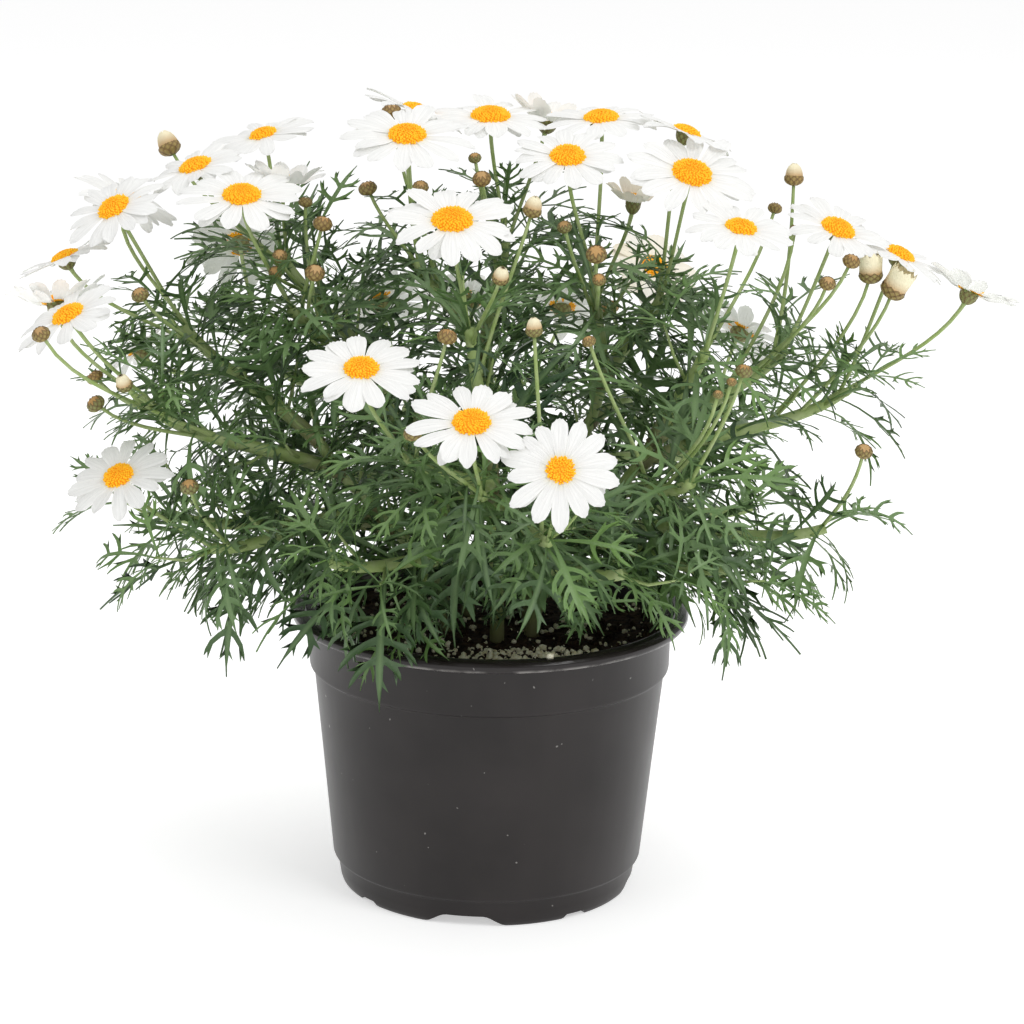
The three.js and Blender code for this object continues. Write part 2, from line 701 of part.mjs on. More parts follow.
// The first way of turning a leaf that keeps it clear of the pot and the petals, if there is one.
function leafAt(axis, slot) {
  for (let variant = 0; variant < LEAF_VARIANTS; variant += 1) {
    const leaf = leafOn(axis, slot, variant);
    const probes = TEST_SHARES.map((share) => onBlade(leaf, leaf.length * share, 0, 0));
    const tips = lobesOf(leaf).flatMap(({ end, left, right }) => [
      onBlade(leaf, end + left.ahead, left.out, 0),
      onBlade(leaf, end + right.ahead, -right.out, 0),
    ]);
    if (![...probes, ...tips].some(isTaken)) {
      return leaf;
    }
  }
  return null;
}

function boxesMeet(a, b) {
  return [0, 1, 2].every((k) => a.min[k] < b.max[k] && b.min[k] < a.max[k]);
}

function isClear(solid, others) {
  const box = solid.boundingBox();
  return others.every((other) => !boxesMeet(box, other.boundingBox()) || solid.intersect(other).isEmpty());
}

// Leaves stand in small groups along each axis: the first of a group that is clear of its neighbours.
function leavesFor(axes, others) {
  const leaves = [];
  for (const axis of axes) {
    const slots = slotsOn(axis);
    const near = axes.filter((other) => other !== axis).map((other) => other.solid);
    for (let i = 0; i < slots.length; i += LEAF_GROUP) {
      const choices = slots.slice(i, i + LEAF_GROUP).map((slot) => leafAt(axis, slot)).filter(Boolean);
      const around = [...others, ...near, ...leaves];
      const leaf = choices.find((choice) => isClear(solidOf(bladeGeometry(choice, TEST_MARGIN)), around));
      if (leaf) {
        leaves.push(solidOf(bladeGeometry(leaf)));
      }
    }
  }
  return leaves;
}

// The hub under petals that lift more is thicker, so that it holds their feet.
function hubDepth({ lift }) {
  return RAY_THICKNESS * (1 + lift / DOUBLING_LIFT);
}

// The petals of a bloom as one star-shaped blade with a flat hub, each petal arched along its length.
function rayGeometry(flower, number) {
  const radius = flower.width / 2;
  const notch = radius * NOTCH_SHARE;
  const depth = hubDepth(flower);
  const thickest = flower.lift > STEEP_LIFT ? STEEP_THICKEST_SHARE : THICKEST_SHARE;
  const corners = [new THREE.Vector3(0, 0, 0), new THREE.Vector3(0, 0, -depth)];
  const triangles = [];
  const petals = petalsOf(flower, number);
  const notches = petals.map(({ angle }, i) => {
    const before = i === 0 ? petals.at(-1).angle - 2 * Math.PI : petals[i - 1].angle;
    const middle = (before + angle) / 2;
    return corners.push(new THREE.Vector3(notch * Math.cos(middle), notch * Math.sin(middle), 0)) - 1;
  });
  petals.forEach((petal, i) => {
    const add = (share, across, height) => corners.push(onPetal(petal, notch, share, across, height)) - 1;
    const [first, last] = [notches[i], notches[(i + 1) % petals.length]];
    const right = add(SHOULDER_SHARE, -petal.halfWidth, 0);
    const tip = add(1, 0, 0);
    const left = add(SHOULDER_SHARE, petal.halfWidth, 0);
    const below = add(thickest, 0, -depth);
    triangles.push([0, first, last], [first, right, left], [right, tip, left], [first, left, last]);
    triangles.push([1, below, first], [1, last, below], [below, right, first], [below, tip, right]);
    triangles.push([below, left, tip], [below, last, left]);
  });
  const turn = new THREE.Quaternion().setFromUnitVectors(up, aimed(flower.bearing, flower.tilt));
  return geometryFrom(corners, triangles).applyQuaternion(turn).translate(...flower.place);
}

function petalsOf(flower, number) {
  const radius = flower.width / 2;
  const petals = [];
  for (let i = 0; i < flower.petals; i += 1) {
    const id = number * 20 + i;
    petals.push({
      angle: (2 * Math.PI * (i + between(-PETAL_SHIFT, PETAL_SHIFT, id, 5) + draw(number, 6))) / flower.petals,
      length: radius * (between(SHORT_PETAL, 1, id, 7) - NOTCH_SHARE),
      halfWidth: (radius * PETAL_FULLNESS) / flower.petals,
      lift: radians(flower.lift + between(-LIFT_SPREAD, LIFT_SPREAD, id, 8)),
    });
  }
  return petals;
}

function onPetal({ angle, length, lift }, notch, share, across, height) {
  const bend = -radians(PETAL_SAG) / length;
  const start = lift;
  const end = start + bend * length * share;
  const out = notch + (Math.sin(end) - Math.sin(start)) / bend;
  const rise = (Math.cos(start) - Math.cos(end)) / bend + height;
  const [x, y] = [Math.cos(angle), Math.sin(angle)];
  return new THREE.Vector3(x * out - y * across, y * out + x * across, rise);
}

// The yellow dome of florets, with bumps standing out of it.
function discMesh(flower, number) {
  const radius = flower.disc / 2;
  const rise = flower.disc * DOME_SHARE;
  const geometry = turned([
    [0, 0],
    [radius, 0],
    [radius * 0.72, rise * 0.8],
    [0, rise],
  ], DISC_SIDES);
  const position = geometry.attributes.position;
  for (let i = 0; i < position.count; i += 1) {
    const [x, y, z] = [position.getX(i), position.getY(i), position.getZ(i)];
    if (z > 0.1 && z < rise * 0.99) {
      const bump = 1 + (draw(Math.round(x * 9) * 17 + Math.round(y * 9), 9) - 0.5) * FLORET_BUMPS;
      position.setXYZ(i, x * bump, y * bump, z * bump);
    }
  }
  const label = String(number).padStart(2, '0');
  const mesh = named(`disc_${label}`, geometryOf(solidOf(geometry)), discYellow);
  const facing = aimed(flower.bearing, flower.tilt);
  mesh.quaternion.setFromUnitVectors(up, facing);
  mesh.position.set(...flower.place).addScaledVector(facing, GAP);
  return mesh;
}

// Petals of touching blooms are joined, so that each cluster is one body.
function makeRays() {
  const clusters = new Map();
  flowers.forEach((flower, i) => {
    const key = flower.cluster || `alone ${i}`;
    const label = String(i + 1).padStart(2, '0');
    const petals = solidOf(rayGeometry(flower, i + 1));
    const before = clusters.get(key);
    clusters.set(key, before
      ? { name: `${before.name}_${label}`, solid: before.solid.add(petals) }
      : { name: `rays_${label}`, solid: petals });
  });
  return [...clusters.values()];
}

function makePlant() {
  const pot = makePot();
  const soil = makeSoil();
  const rays = makeRays();
  const discs = flowers.map((flower, i) => discMesh(flower, i + 1));
  const numbers = { axis: 0 };
  const plans = stems.map((stem) => layOut(stem, numbers));
  const wood = stems.map((stem, i) => woodOf(stem, plans[i]));
  const still = [pot, soil, ...rays.map(({ solid }) => solid)];
  stems.forEach((stem, i) => {
    const others = [...still, ...wood.filter((_, other) => other !== i)];
    wood[i] = leavesFor(plans[i], others).reduce((green, leaf) => green.add(leaf), wood[i]);
  });
  const holder = new THREE.Group();
  holder.add(named('pot', geometryOf(pot), potPlastic));
  holder.add(named('soil', geometryOf(soil), soilBrown));
  const plant = new THREE.Group();
  stems.forEach((stem, i) => plant.add(named(stem.name, geometryOf(wood[i]), leafGreen)));
  rays.forEach(({ name, solid }) => plant.add(named(name, geometryOf(solid), rayWhite)));
  plant.add(...discs);
  return new THREE.Group().add(holder, plant);
}

export default makePlant();
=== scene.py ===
"""Potted marguerite daisy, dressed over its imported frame.

A bushy plant in flower stands in a dark nursery pot. The plant is worked out in
millimetres, as its solids are, and each piece is brought to metres when it is done.
"""

import logging
import math
from collections.abc import Callable, Iterator
from dataclasses import dataclass, field
from enum import Enum

import bmesh
import bpy
from mathutils import Matrix, Vector, noise


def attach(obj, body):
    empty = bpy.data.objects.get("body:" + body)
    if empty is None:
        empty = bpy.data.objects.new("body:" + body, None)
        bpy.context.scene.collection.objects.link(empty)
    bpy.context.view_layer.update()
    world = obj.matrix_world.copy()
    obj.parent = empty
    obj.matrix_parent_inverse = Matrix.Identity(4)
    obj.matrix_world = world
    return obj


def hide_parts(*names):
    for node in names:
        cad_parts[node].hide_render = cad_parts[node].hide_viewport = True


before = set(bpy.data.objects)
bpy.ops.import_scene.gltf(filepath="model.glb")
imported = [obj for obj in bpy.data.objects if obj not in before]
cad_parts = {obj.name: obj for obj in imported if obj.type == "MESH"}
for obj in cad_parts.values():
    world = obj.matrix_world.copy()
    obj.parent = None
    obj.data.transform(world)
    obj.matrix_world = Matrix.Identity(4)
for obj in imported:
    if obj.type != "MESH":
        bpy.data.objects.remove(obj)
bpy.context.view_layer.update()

log = logging.getLogger("daisy")

MM = 0.001
UP = Vector((0, 0, 1))
SEED = 4.2

# Sizes that the solids share, in millimetres.
POT_HEIGHT = 119.5
LIP_RADIUS = 82.5
BODY_TOP_RADIUS = 73.0
SOIL_TOP = 110.0
MAIN_START = 106.0
FIRST_STALK = 0.97
STALK_SPACING = 0.1
CUP_GAP = 0.45
CUP_SHARE = 0.42
BUD_SMALL = 3.1
BUD_LARGE = 3.9
LONG_LEAF = 56.0
LEAF_CLEARANCE = 3.0
NEAR_BLOOM = 8.0
PETALS_BELOW = 7.0
PETALS_ABOVE = 9.0
PETAL_CLEARANCE = 2.0

# How leaves sit, each between two angles in degrees, and their spiral round a stem.
LEAF_LEAN = (42, 72)
LEAF_ROLL = (-24, 24)
LEAF_BEND = (30, 85)
HUNG_SLOPE = (-50, -12)
HUNG_BEND = (25, 60)
CLOSER_AT_TIP = 18
SPIRAL = 137.5

Place = tuple[float, float, float]
Colour = tuple[float, float, float]


def draw(index: float, channel: float) -> float:
    """Returns a repeatable draw between 0 and 1 for a numbered thing and one of its properties."""
    wave = math.sin(index * 12.9898 + channel * 78.233 + SEED) * 43758.5453
    return wave - math.floor(wave)


def between(low: float, high: float, index: float, channel: float) -> float:
    """Returns a repeatable draw between two values."""
    return low + (high - low) * draw(index, channel)


def blend(start: float, end: float, share: float) -> float:
    """Returns the value a share of the way from start to end."""
    return start + (end - start) * share


def ease(share: float) -> float:
    """Returns a share from 0 to 1 with soft ends."""
    share = min(max(share, 0.0), 1.0)
    return share * share * (3 - 2 * share)


def aimed(bearing: float, tilt: float) -> Vector:
    """Returns the direction that leans from straight up by tilt, towards a bearing.

    Args:
        bearing: Degrees, where 0 is right and 90 is back.
        tilt: Degrees away from straight up.

    Returns:
        The direction, 1 long.
    """
    lean = math.sin(math.radians(tilt))
    turn = math.radians(bearing)
    return Vector((lean * math.cos(turn), lean * math.sin(turn), math.cos(math.radians(tilt))))


# Finishes.


class Surface:
    """Wires the nodes of one finish round its shader."""

    def __init__(self, name: str, roughness: float, specular: float = 0.5) -> None:
        """Makes the material and sets what is the same all over it.

        Args:
            name: The name of the material.
            roughness: How rough it is all over.
            specular: How strong its highlights are.
        """
        self.material = bpy.data.materials.new(name)
        self.material.use_nodes = True
        self.tree = self.material.node_tree
        self.shader = self.tree.nodes["Principled BSDF"]
        self.shader.inputs["Roughness"].default_value = roughness
        self.shader.inputs["Specular IOR Level"].default_value = specular
        self.height: bpy.types.NodeSocket | None = None

    def node(self, kind: str, **settings: object) -> bpy.types.Node:
        """Adds a node and sets its options by name.

        Args:
            kind: The type of node.
            settings: Its options, by name.

        Returns:
            The node.
        """
        made = self.tree.nodes.new(kind)
        for key, value in settings.items():
            setattr(made, key, value)
        return made

    def link(self, source: bpy.types.NodeSocket, target: bpy.types.NodeSocket) -> None:
        """Joins an output to an input."""
        self.tree.links.new(source, target)

    def shine(self, colour: Colour, strength: float) -> None:
        """Gives the surface a faint glow of its own."""
        self.shader.inputs["Emission Color"].default_value = (*colour, 1)
        self.shader.inputs["Emission Strength"].default_value = strength

    def grain(
        self, scale: float, detail: float = 3.0, stretch: Place = (1, 1, 1)
    ) -> bpy.types.NodeSocket:
        """Returns a noise pattern on the piece's own coordinates.

        Args:
            scale: Patches per metre.
            detail: How many finer layers the noise has.
            stretch: How much the pattern is squeezed along each axis.

        Returns:
            The socket that carries it.
        """
        place = self.node("ShaderNodeTexCoord")
        mapping = self.node("ShaderNodeMapping")
        mapping.inputs["Scale"].default_value = stretch
        pattern = self.node("ShaderNodeTexNoise")
        pattern.inputs["Scale"].default_value = scale
        pattern.inputs["Detail"].default_value = detail
        self.link(place.outputs["Object"], mapping.inputs["Vector"])
        self.link(mapping.outputs["Vector"], pattern.inputs["Vector"])
        return pattern.outputs["Fac"]

    def level(self, low: float, high: float) -> bpy.types.NodeSocket:
        """Returns how far up the object a point is, from 0 at low to 1 at high, in metres.

        Args:
            low: The height that gives 0.
            high: The height that gives 1.

        Returns:
            The socket that carries it.
        """
        place = self.node("ShaderNodeTexCoord")
        split = self.node("ShaderNodeSeparateXYZ")
        self.link(place.outputs["Object"], split.inputs["Vector"])
        return self.spread(split.outputs["Z"], low, high)

    def under(self) -> bpy.types.NodeSocket:
        """Returns 1 on the under side of a thin sheet and 0 on its upper side."""
        return self.node("ShaderNodeNewGeometry").outputs["Backfacing"]

    def tone(self, channel: int) -> bpy.types.NodeSocket:
        """Returns one of the three values of tone, which each maker writes for its own finish.

        Args:
            channel: Which of the three values.

        Returns:
            The socket that carries it.
        """
        attribute = self.node("ShaderNodeAttribute", attribute_name="tone")
        split = self.node("ShaderNodeSeparateColor")
        self.link(attribute.outputs["Color"], split.inputs["Color"])
        return split.outputs[channel]

    def spread(
        self,
        value: bpy.types.NodeSocket,
        low: float,
        high: float,
        start: float = 0.0,
        end: float = 1.0,
    ) -> bpy.types.NodeSocket:
        """Returns a value stretched so that low becomes start and high becomes end.

        Args:
            value: What is stretched.
            low: The value that becomes start.
            high: The value that becomes end.
            start: The least result.
            end: The greatest result.

        Returns:
            The socket that carries it.
        """
        reach = self.node("ShaderNodeMapRange")
        reach.inputs["From Min"].default_value = low
        reach.inputs["From Max"].default_value = high
        reach.inputs["To Min"].default_value = start
        reach.inputs["To Max"].default_value = end
        self.link(value, reach.inputs["Value"])
        return reach.outputs["Result"]

    def both(self, first: bpy.types.NodeSocket, second: bpy.types.NodeSocket) -> bpy.types.NodeSocket:
        """Returns the product of two masks.

        Args:
            first: One mask.
            second: The other mask.

        Returns:
            The socket that carries it.
        """
        product = self.node("ShaderNodeMath", operation="MULTIPLY")
        self.link(first, product.inputs[0])
        self.link(second, product.inputs[1])
        return product.outputs["Value"]

    def mix(self, share: bpy.types.NodeSocket, first: object, second: object) -> bpy.types.NodeSocket:
        """Returns the colour between two colours, each given as numbers or as a socket.

        Args:
            share: The mask that shows the second colour.
            first: The colour where the mask is 0.
            second: The colour where it is 1.

        Returns:
            The socket that carries it.
        """
        mixer = self.node("ShaderNodeMix", data_type="RGBA")
        self.link(share, mixer.inputs["Factor"])
        for socket, colour in ((mixer.inputs[6], first), (mixer.inputs[7], second)):
            if isinstance(colour, bpy.types.NodeSocket):
                self.link(colour, socket)
            else:
                socket.default_value = (*colour, 1)
        return mixer.outputs[2]

    def bump(self, height: bpy.types.NodeSocket, distance: float, strength: float = 1.0) -> None:
        """Raises the surface by a pattern, over any pattern already there.

        Args:
            height: The pattern.
            distance: How deep it is, in metres.
            strength: How much of it is felt.
        """
        relief = self.node("ShaderNodeBump")
        relief.inputs["Strength"].default_value = strength
        relief.inputs["Distance"].default_value = distance
        self.link(height, relief.inputs["Height"])
        if self.height is not None:
            self.link(self.height, relief.inputs["Normal"])
        self.height = relief.outputs["Normal"]

    def done(
        self, colour: bpy.types.NodeSocket, rough: bpy.types.NodeSocket | None = None
    ) -> bpy.types.Material:
        """Joins the colour, the relief and any change of roughness to the shader.

        Args:
            colour: The colour all over.
            rough: How rough each place is, where that varies.

        Returns:
            The finished material.
        """
        self.link(colour, self.shader.inputs["Base Color"])
        if rough is not None:
            self.link(rough, self.shader.inputs["Roughness"])
        if self.height is not None:
            self.link(self.height, self.shader.inputs["Normal"])
        return self.material


@dataclass(frozen=True)
class PotPlastic:
    """Thin black plastic, satin with a glossier lip, a few specks, faint upright flow marks and a painted
    highlight line along the lower edge of the lip.
    """

    dark: Colour = (0.0105, 0.0078, 0.0076)
    light: Colour = (0.019, 0.015, 0.0146)
    # The pale colour of the specks, also used for the painted highlight on the lip.
    dust_and_highlight: Colour = (0.2, 0.19, 0.18)
    lip_gloss: Colour = (0.16, 0.16, 0.16)

    def make(self) -> bpy.types.Material:
        """Builds the material.

        Returns:
            The finished material.
        """
        surface = Surface("pot_plastic", 0.36, 0.34)
        colour = surface.mix(surface.spread(surface.grain(26), 0.35, 0.7), self.dark, self.light)
        flow = surface.spread(surface.grain(38, 2, (1, 1, 0.06)), 0.48, 0.75)
        colour = surface.mix(flow, colour, self.light)
        specks = surface.spread(surface.grain(420, 0), 0.86, 0.88)
        colour = surface.mix(specks, colour, self.dust_and_highlight)
        # Painted highlight: a broken pale line along the lower edge of the lip.
        painted_highlight = surface.both(surface.level(0.1142, 0.1146), surface.spread(surface.grain(70, 4), 0.47, 0.6))
        painted_highlight = surface.both(painted_highlight, surface.level(0.1162, 0.1152))
        colour = surface.mix(painted_highlight, colour, self.dust_and_highlight)
        surface.bump(surface.grain(60, 2, (1, 1, 0.15)), 0.0005, 0.3)
        surface.bump(surface.grain(2500, 1), 0.00006, 0.4)
        satin = surface.spread(surface.grain(45, 4), 0, 1, 0.3, 0.42)
        gloss = surface.mix(surface.level(0.1125, 0.115), satin, self.lip_gloss)
        return surface.done(colour, gloss)


@dataclass(frozen=True)
class PottingSoil:
    """Dark moist compost with paler fibres."""

    dark: Colour = (0.012, 0.008, 0.006)
    light: Colour = (0.075, 0.046, 0.028)

    def make(self) -> bpy.types.Material:
        """Builds the material.

        Returns:
            The finished material.
        """
        surface = Surface("potting_soil", 0.95, 0.2)
        colour = surface.mix(surface.spread(surface.grain(320, 5), 0.4, 0.72), self.dark, self.light)
        surface.bump(surface.grain(500, 4), 0.0016)
        return surface.done(colour)


@dataclass(frozen=True)
class PerliteGrain:
    """White perlite, yellowed a little by the compost."""

    clean: Colour = (0.95, 0.92, 0.74)
    stained: Colour = (0.72, 0.63, 0.38)

    def make(self) -> bpy.types.Material:
        """Builds the material.

        Returns:
            The finished material.
        """
        surface = Surface("perlite_grain", 0.85, 0.3)
        colour = surface.mix(surface.spread(surface.grain(700), 0.42, 0.75), self.clean, self.stained)
        surface.bump(surface.grain(1800), 0.0004)
        return surface.done(colour)


@dataclass(frozen=True)
class StemSkin:
    """Light green stems, browner and woodier near the soil, with fine lengthwise ribs."""

    green: Colour = (0.29, 0.4, 0.12)
    pale: Colour = (0.38, 0.46, 0.21)
    woody: Colour = (0.16, 0.13, 0.07)

    def make(self) -> bpy.types.Material:
        """Builds the material.

        Returns:
            The finished material.
        """
        surface = Surface("stem_skin", 0.5)
        colour = surface.mix(surface.spread(surface.grain(180, 4), 0.35, 0.7), self.green, self.pale)
        colour = surface.mix(surface.tone(1), colour, self.woody)
        surface.bump(surface.grain(900, 2, (1, 1, 0.1)), 0.0004, 0.6)
        return surface.done(colour)


@dataclass(frozen=True)
class LeafSkin:
    """Blue-green leaves, with painted shade and light over a tone of their own, yellower where they are young
    and paler along the rib.
    """

    deep: Colour = (0.026, 0.064, 0.026)
    light: Colour = (0.168, 0.275, 0.114)
    young: Colour = (0.2, 0.36, 0.075)
    rib: Colour = (0.2, 0.31, 0.13)

    def make(self) -> bpy.types.Material:
        """Builds the material.

        Returns:
            The finished material.
        """
        surface = Surface("leaf_skin", 0.4)
        # The first value of tone gives each leaf's own tone with its painted shade and light.
        colour = surface.mix(surface.tone(0), self.deep, self.light)
        colour = surface.mix(surface.tone(1), colour, self.young)
        colour = surface.mix(surface.tone(2), colour, self.rib)
        colour = surface.mix(surface.spread(surface.grain(160), 0.5, 1.3), colour, self.light)
        surface.bump(surface.grain(1100, 3), 0.0003, 0.6)
        return surface.done(colour)


@dataclass(frozen=True)
class PetalSkin:
    """White petals with faint lengthwise veins greyed with painted shade, painted light on their under sides,
    greener at the foot and cream once they fade.
    """

    white: Colour = (0.83, 0.83, 0.815)
    shade: Colour = (0.7, 0.705, 0.69)
    # The lighter colour of the under sides: painted light.
    below: Colour = (0.93, 0.93, 0.9)
    cream: Colour = (0.8, 0.68, 0.44)
    foot: Colour = (0.7, 0.73, 0.5)
    glow: float = 0.12

    def make(self) -> bpy.types.Material:
        """Builds the material, with a faint glow for the light that comes through a petal.

        Returns:
            The finished material.
        """
        surface = Surface("petal_skin", 0.6, 0.3)
        seat = surface.node("ShaderNodeUVMap", uv_map="grain")
        stretch = surface.node("ShaderNodeMapping")
        stretch.inputs["Scale"].default_value = (14, 0.7, 1)
        veins = surface.node("ShaderNodeTexNoise")
        veins.inputs["Scale"].default_value = 1.6
        surface.link(seat.outputs["UV"], stretch.inputs["Vector"])
        surface.link(stretch.outputs["Vector"], veins.inputs["Vector"])
        # Painted shade: the lengthwise veins are greyed.
        colour = surface.mix(surface.spread(veins.outputs["Fac"], 0.4, 0.75), self.white, self.shade)
        # Painted light: the under sides are lighter than the upper sides.
        colour = surface.mix(surface.under(), colour, self.below)
        colour = surface.mix(surface.tone(1), colour, self.cream)
        colour = surface.mix(surface.tone(2), colour, self.foot)
        surface.bump(veins.outputs["Fac"], 0.0004, 0.9)
        surface.shine((1, 1, 0.97), self.glow)
        return surface.done(colour)


@dataclass(frozen=True)
class FloretSkin:
    """Golden florets, deeper orange towards the middle of the disc, with painted shade at their feet and a
    faint glow of painted light.
    """

    golden: Colour = (0.98, 0.56, 0.02)
    orange: Colour = (0.96, 0.45, 0.013)
    # Darker orange for the feet of the florets and the dome between them: painted shade.
    base: Colour = (0.88, 0.37, 0.01)
    glow: float = 0.14

    def make(self) -> bpy.types.Material:
        """Builds the material.

        Returns:
            The finished material.
        """
        surface = Surface("floret_skin", 0.6, 0.3)
        colour = surface.mix(surface.tone(0), self.golden, self.orange)
        colour = surface.mix(surface.tone(1), self.base, colour)
        surface.bump(surface.grain(2600), 0.0002)
        # Painted light: a faint orange glow brightens the florets.
        surface.shine((1, 0.45, 0.02), self.glow)
        return surface.done(colour)


@dataclass(frozen=True)
class BudSkin:
    """Buds and cups: green bracts with brown edges round tan or cream petals."""

    green: Colour = (0.24, 0.31, 0.11)
    brown: Colour = (0.13, 0.06, 0.028)
    tan: Colour = (0.5, 0.28, 0.085)
    cream: Colour = (0.94, 0.87, 0.62)

    def make(self) -> bpy.types.Material:
        """Builds the material.

        Returns:
            The finished material.
        """
        surface = Surface("bud_skin", 0.52, 0.4)
        mottle = surface.spread(surface.grain(900), 0.6, 1.4)
        inside = surface.mix(surface.tone(1), surface.mix(mottle, self.tan, self.brown), self.cream)
        colour = surface.mix(surface.tone(0), surface.mix(mottle, self.green, self.brown), inside)
        colour = surface.mix(surface.tone(2), colour, self.brown)
        surface.bump(surface.grain(1500), 0.0004)
        return surface.done(colour)


@dataclass(frozen=True)
class StudioPaper:
    """The pale floor."""

    white: Colour = (0.8, 0.8, 0.8)
    glow: float = 0.5

    def make(self) -> bpy.types.Material:
        """Builds the material, with a faint glow that keeps its shadows light.

        Returns:
            The finished material.
        """
        surface = Surface("studio_paper", 0.9, 0.1)
        surface.shine((1, 1, 1), self.glow)
        colour = surface.mix(surface.grain(3, 1), self.white, tuple(c * 0.99 for c in self.white))
        return surface.done(colour)


# Shapes and how copies of them are gathered.


def grained() -> bmesh.types.BMesh:
    """Starts an empty bmesh with a layer for its grain.

    Returns:
        The bmesh.
    """
    bm = bmesh.new()
    bm.loops.layers.uv.new("grain")
    return bm


def to_metres(bm: bmesh.types.BMesh) -> None:
    """Brings a bmesh from millimetres to metres."""
    bmesh.ops.scale(bm, vec=(MM, MM, MM), verts=bm.verts)


def shape_of(bm: bmesh.types.BMesh, name: str) -> bpy.types.Mesh:
    """Keeps a bmesh as a mesh, and frees it.

    Args:
        bm: The shape.
        name: The name of the mesh.

    Returns:
        The mesh.
    """
    mesh = bpy.data.meshes.new(name)
    bm.to_mesh(mesh)
    bm.free()
    return mesh


def placed(name: str, data: bpy.types.ID) -> bpy.types.Object:
    """Puts an object with the given data in the scene.

    Args:
        name: Its name.
        data: Its mesh, light or camera.

    Returns:
        The object.
    """
    made = bpy.data.objects.new(name, data)
    bpy.context.scene.collection.objects.link(made)
    return made


class Heap:
    """Gathers copies of small shapes into one mesh, each with its own tone."""

    def __init__(self) -> None:
        """Starts an empty mesh with the layers that the finishes read."""
        self.bm = bmesh.new()
        self.tone = self.bm.verts.layers.float_color.new("tone")
        self.grain = self.bm.loops.layers.uv.new("grain")

    def add(
        self,
        shape: bpy.types.Mesh,
        place: Callable[[Vector], Vector],
        tone: Callable[[Vector], Place],
    ) -> None:
        """Adds a copy of a shape.

        Args:
            shape: The shape, in its own units.
            place: Gives the place in millimetres of a point of the shape.
            tone: Gives the three values of tone at a point of the shape, as its finish reads them.
        """
        count = len(self.bm.verts)
        self.bm.from_mesh(shape)
        self.bm.verts.ensure_lookup_table()
        for vert in self.bm.verts[count:]:
            vert[self.tone] = (*tone(vert.co), 1)
            vert.co = place(vert.co)

    def piece(self, name: str, material: bpy.types.Material, slot: str, *nodes: str) -> bpy.types.Object:
        """Ends the heap as an object that stands for the given nodes of the frame."""
        to_metres(self.bm)
        return settle(self.bm, name, material, slot, *nodes)


def settle(
    bm: bmesh.types.BMesh,
    name: str,
    material: bpy.types.Material,
    slot: str,
    *nodes: str,
) -> bpy.types.Object:
    """Turns a finished bmesh in metres into a piece that rides on the frame.

    Args:
        bm: The shape.
        name: The piece's name.
        material: Its finish.
        slot: The name of a slot, which is not used.
        nodes: The nodes of the frame that it stands for.

    Returns:
        The piece.
    """
    for face in bm.faces:
        face.smooth = True
    mesh = shape_of(bm, name)
    mesh.materials.append(material)
    piece = placed(name, mesh)
    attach(piece, "root")
    if nodes:
        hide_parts(*nodes)
    log.info("%s: %d faces", name, len(mesh.polygons))
    return piece


def strip(columns: int, rows: int) -> bmesh.types.BMesh:
    """Returns a flat grid, 0 to 1 along X and -1 to 1 along Y, with its grain laid along X.

    Args:
        columns: How many faces it has across.
        rows: How many faces it has along.

    Returns:
        The grid.
    """
    bm = grained()
    bmesh.ops.create_grid(bm, x_segments=rows, y_segments=columns, size=1)
    for vert in bm.verts:
        vert.co.x = (vert.co.x + 1) / 2
    return bm


def lay_grain(bm: bmesh.types.BMesh) -> None:
    """Writes the grain of a flat shape: across it in the first value, along it in the second.

    Args:
        bm: The flat shape.
    """
    layer = bm.loops.layers.uv["grain"]
    for face in bm.faces:
        for loop in face.loops:
            loop[layer].uv = ((loop.vert.co.y + 1) / 2, loop.vert.co.x)


def lump_shape() -> bpy.types.Mesh:
    """Makes a small lump with few faces and a radius of 1.

    Returns:
        The mesh.
    """
    bm = grained()
    bmesh.ops.create_icosphere(bm, subdivisions=1, radius=1)
    return shape_of(bm, "lump")


def ball_shape(name: str, sides: int, rings: int) -> bpy.types.Mesh:
    """Makes a ball with a radius of 1.

    Args:
        name: The name of the mesh.
        sides: How many faces go round.
        rings: How many faces go from pole to pole.

    Returns:
        The mesh.
    """
    bm = grained()
    bmesh.ops.create_uvsphere(bm, u_segments=sides, v_segments=rings, radius=1)
    return shape_of(bm, name)


def turned(profile: list[tuple[float, float]], steps: int) -> bmesh.types.BMesh:
    """Returns a body of revolution about Z from (radius, height) pairs.

    Args:
        profile: The pairs, along the outline.
        steps: How many faces go round.

    Returns:
        The body, with its faces outwards.
    """
    bm = bmesh.new()
    verts = [bm.verts.new((radius, 0, height)) for radius, height in profile]
    edges = [bm.edges.new(pair) for pair in zip(verts, verts[1:])]
    bmesh.ops.spin(
        bm,
        geom=verts + edges,
        cent=(0, 0, 0),
        axis=(0, 0, 1),
        angle=2 * math.pi,
        steps=steps,
        use_merge=True,
    )
    bmesh.ops.remove_doubles(bm, verts=bm.verts, dist=1e-4)
    bmesh.ops.recalc_face_normals(bm, faces=bm.faces)
    return bm


# The plan of the plant, the same as the solids'.


@dataclass(frozen=True)
class Bloom:
    """One bloom: the centre of its hub, where it faces, its width, disc, petals and their lift."""

    place: Place
    facing: tuple[float, float]
    width: float
    disc: float
    petals: int
    lift: float = 6.0
    fade: float = 0.0

    @property
    def aim(self) -> Vector:
        """The direction that the disc faces."""
        return aimed(*self.facing)

    @property
    def hub_depth(self) -> float:
        """The thickness of the hub, which is greater under petals that lift more."""
        return 1.1 * (1 + self.lift / 50)

    def seat(self) -> Callable[[Vector], Vector]:
        """Returns what brings a point of the bloom to its place on the plant.

        Returns:
            A function from the bloom's own place to the place on the plant.
        """
        turn = UP.rotation_difference(self.aim)
        centre = Vector(self.place)
        return lambda point: centre + turn @ point


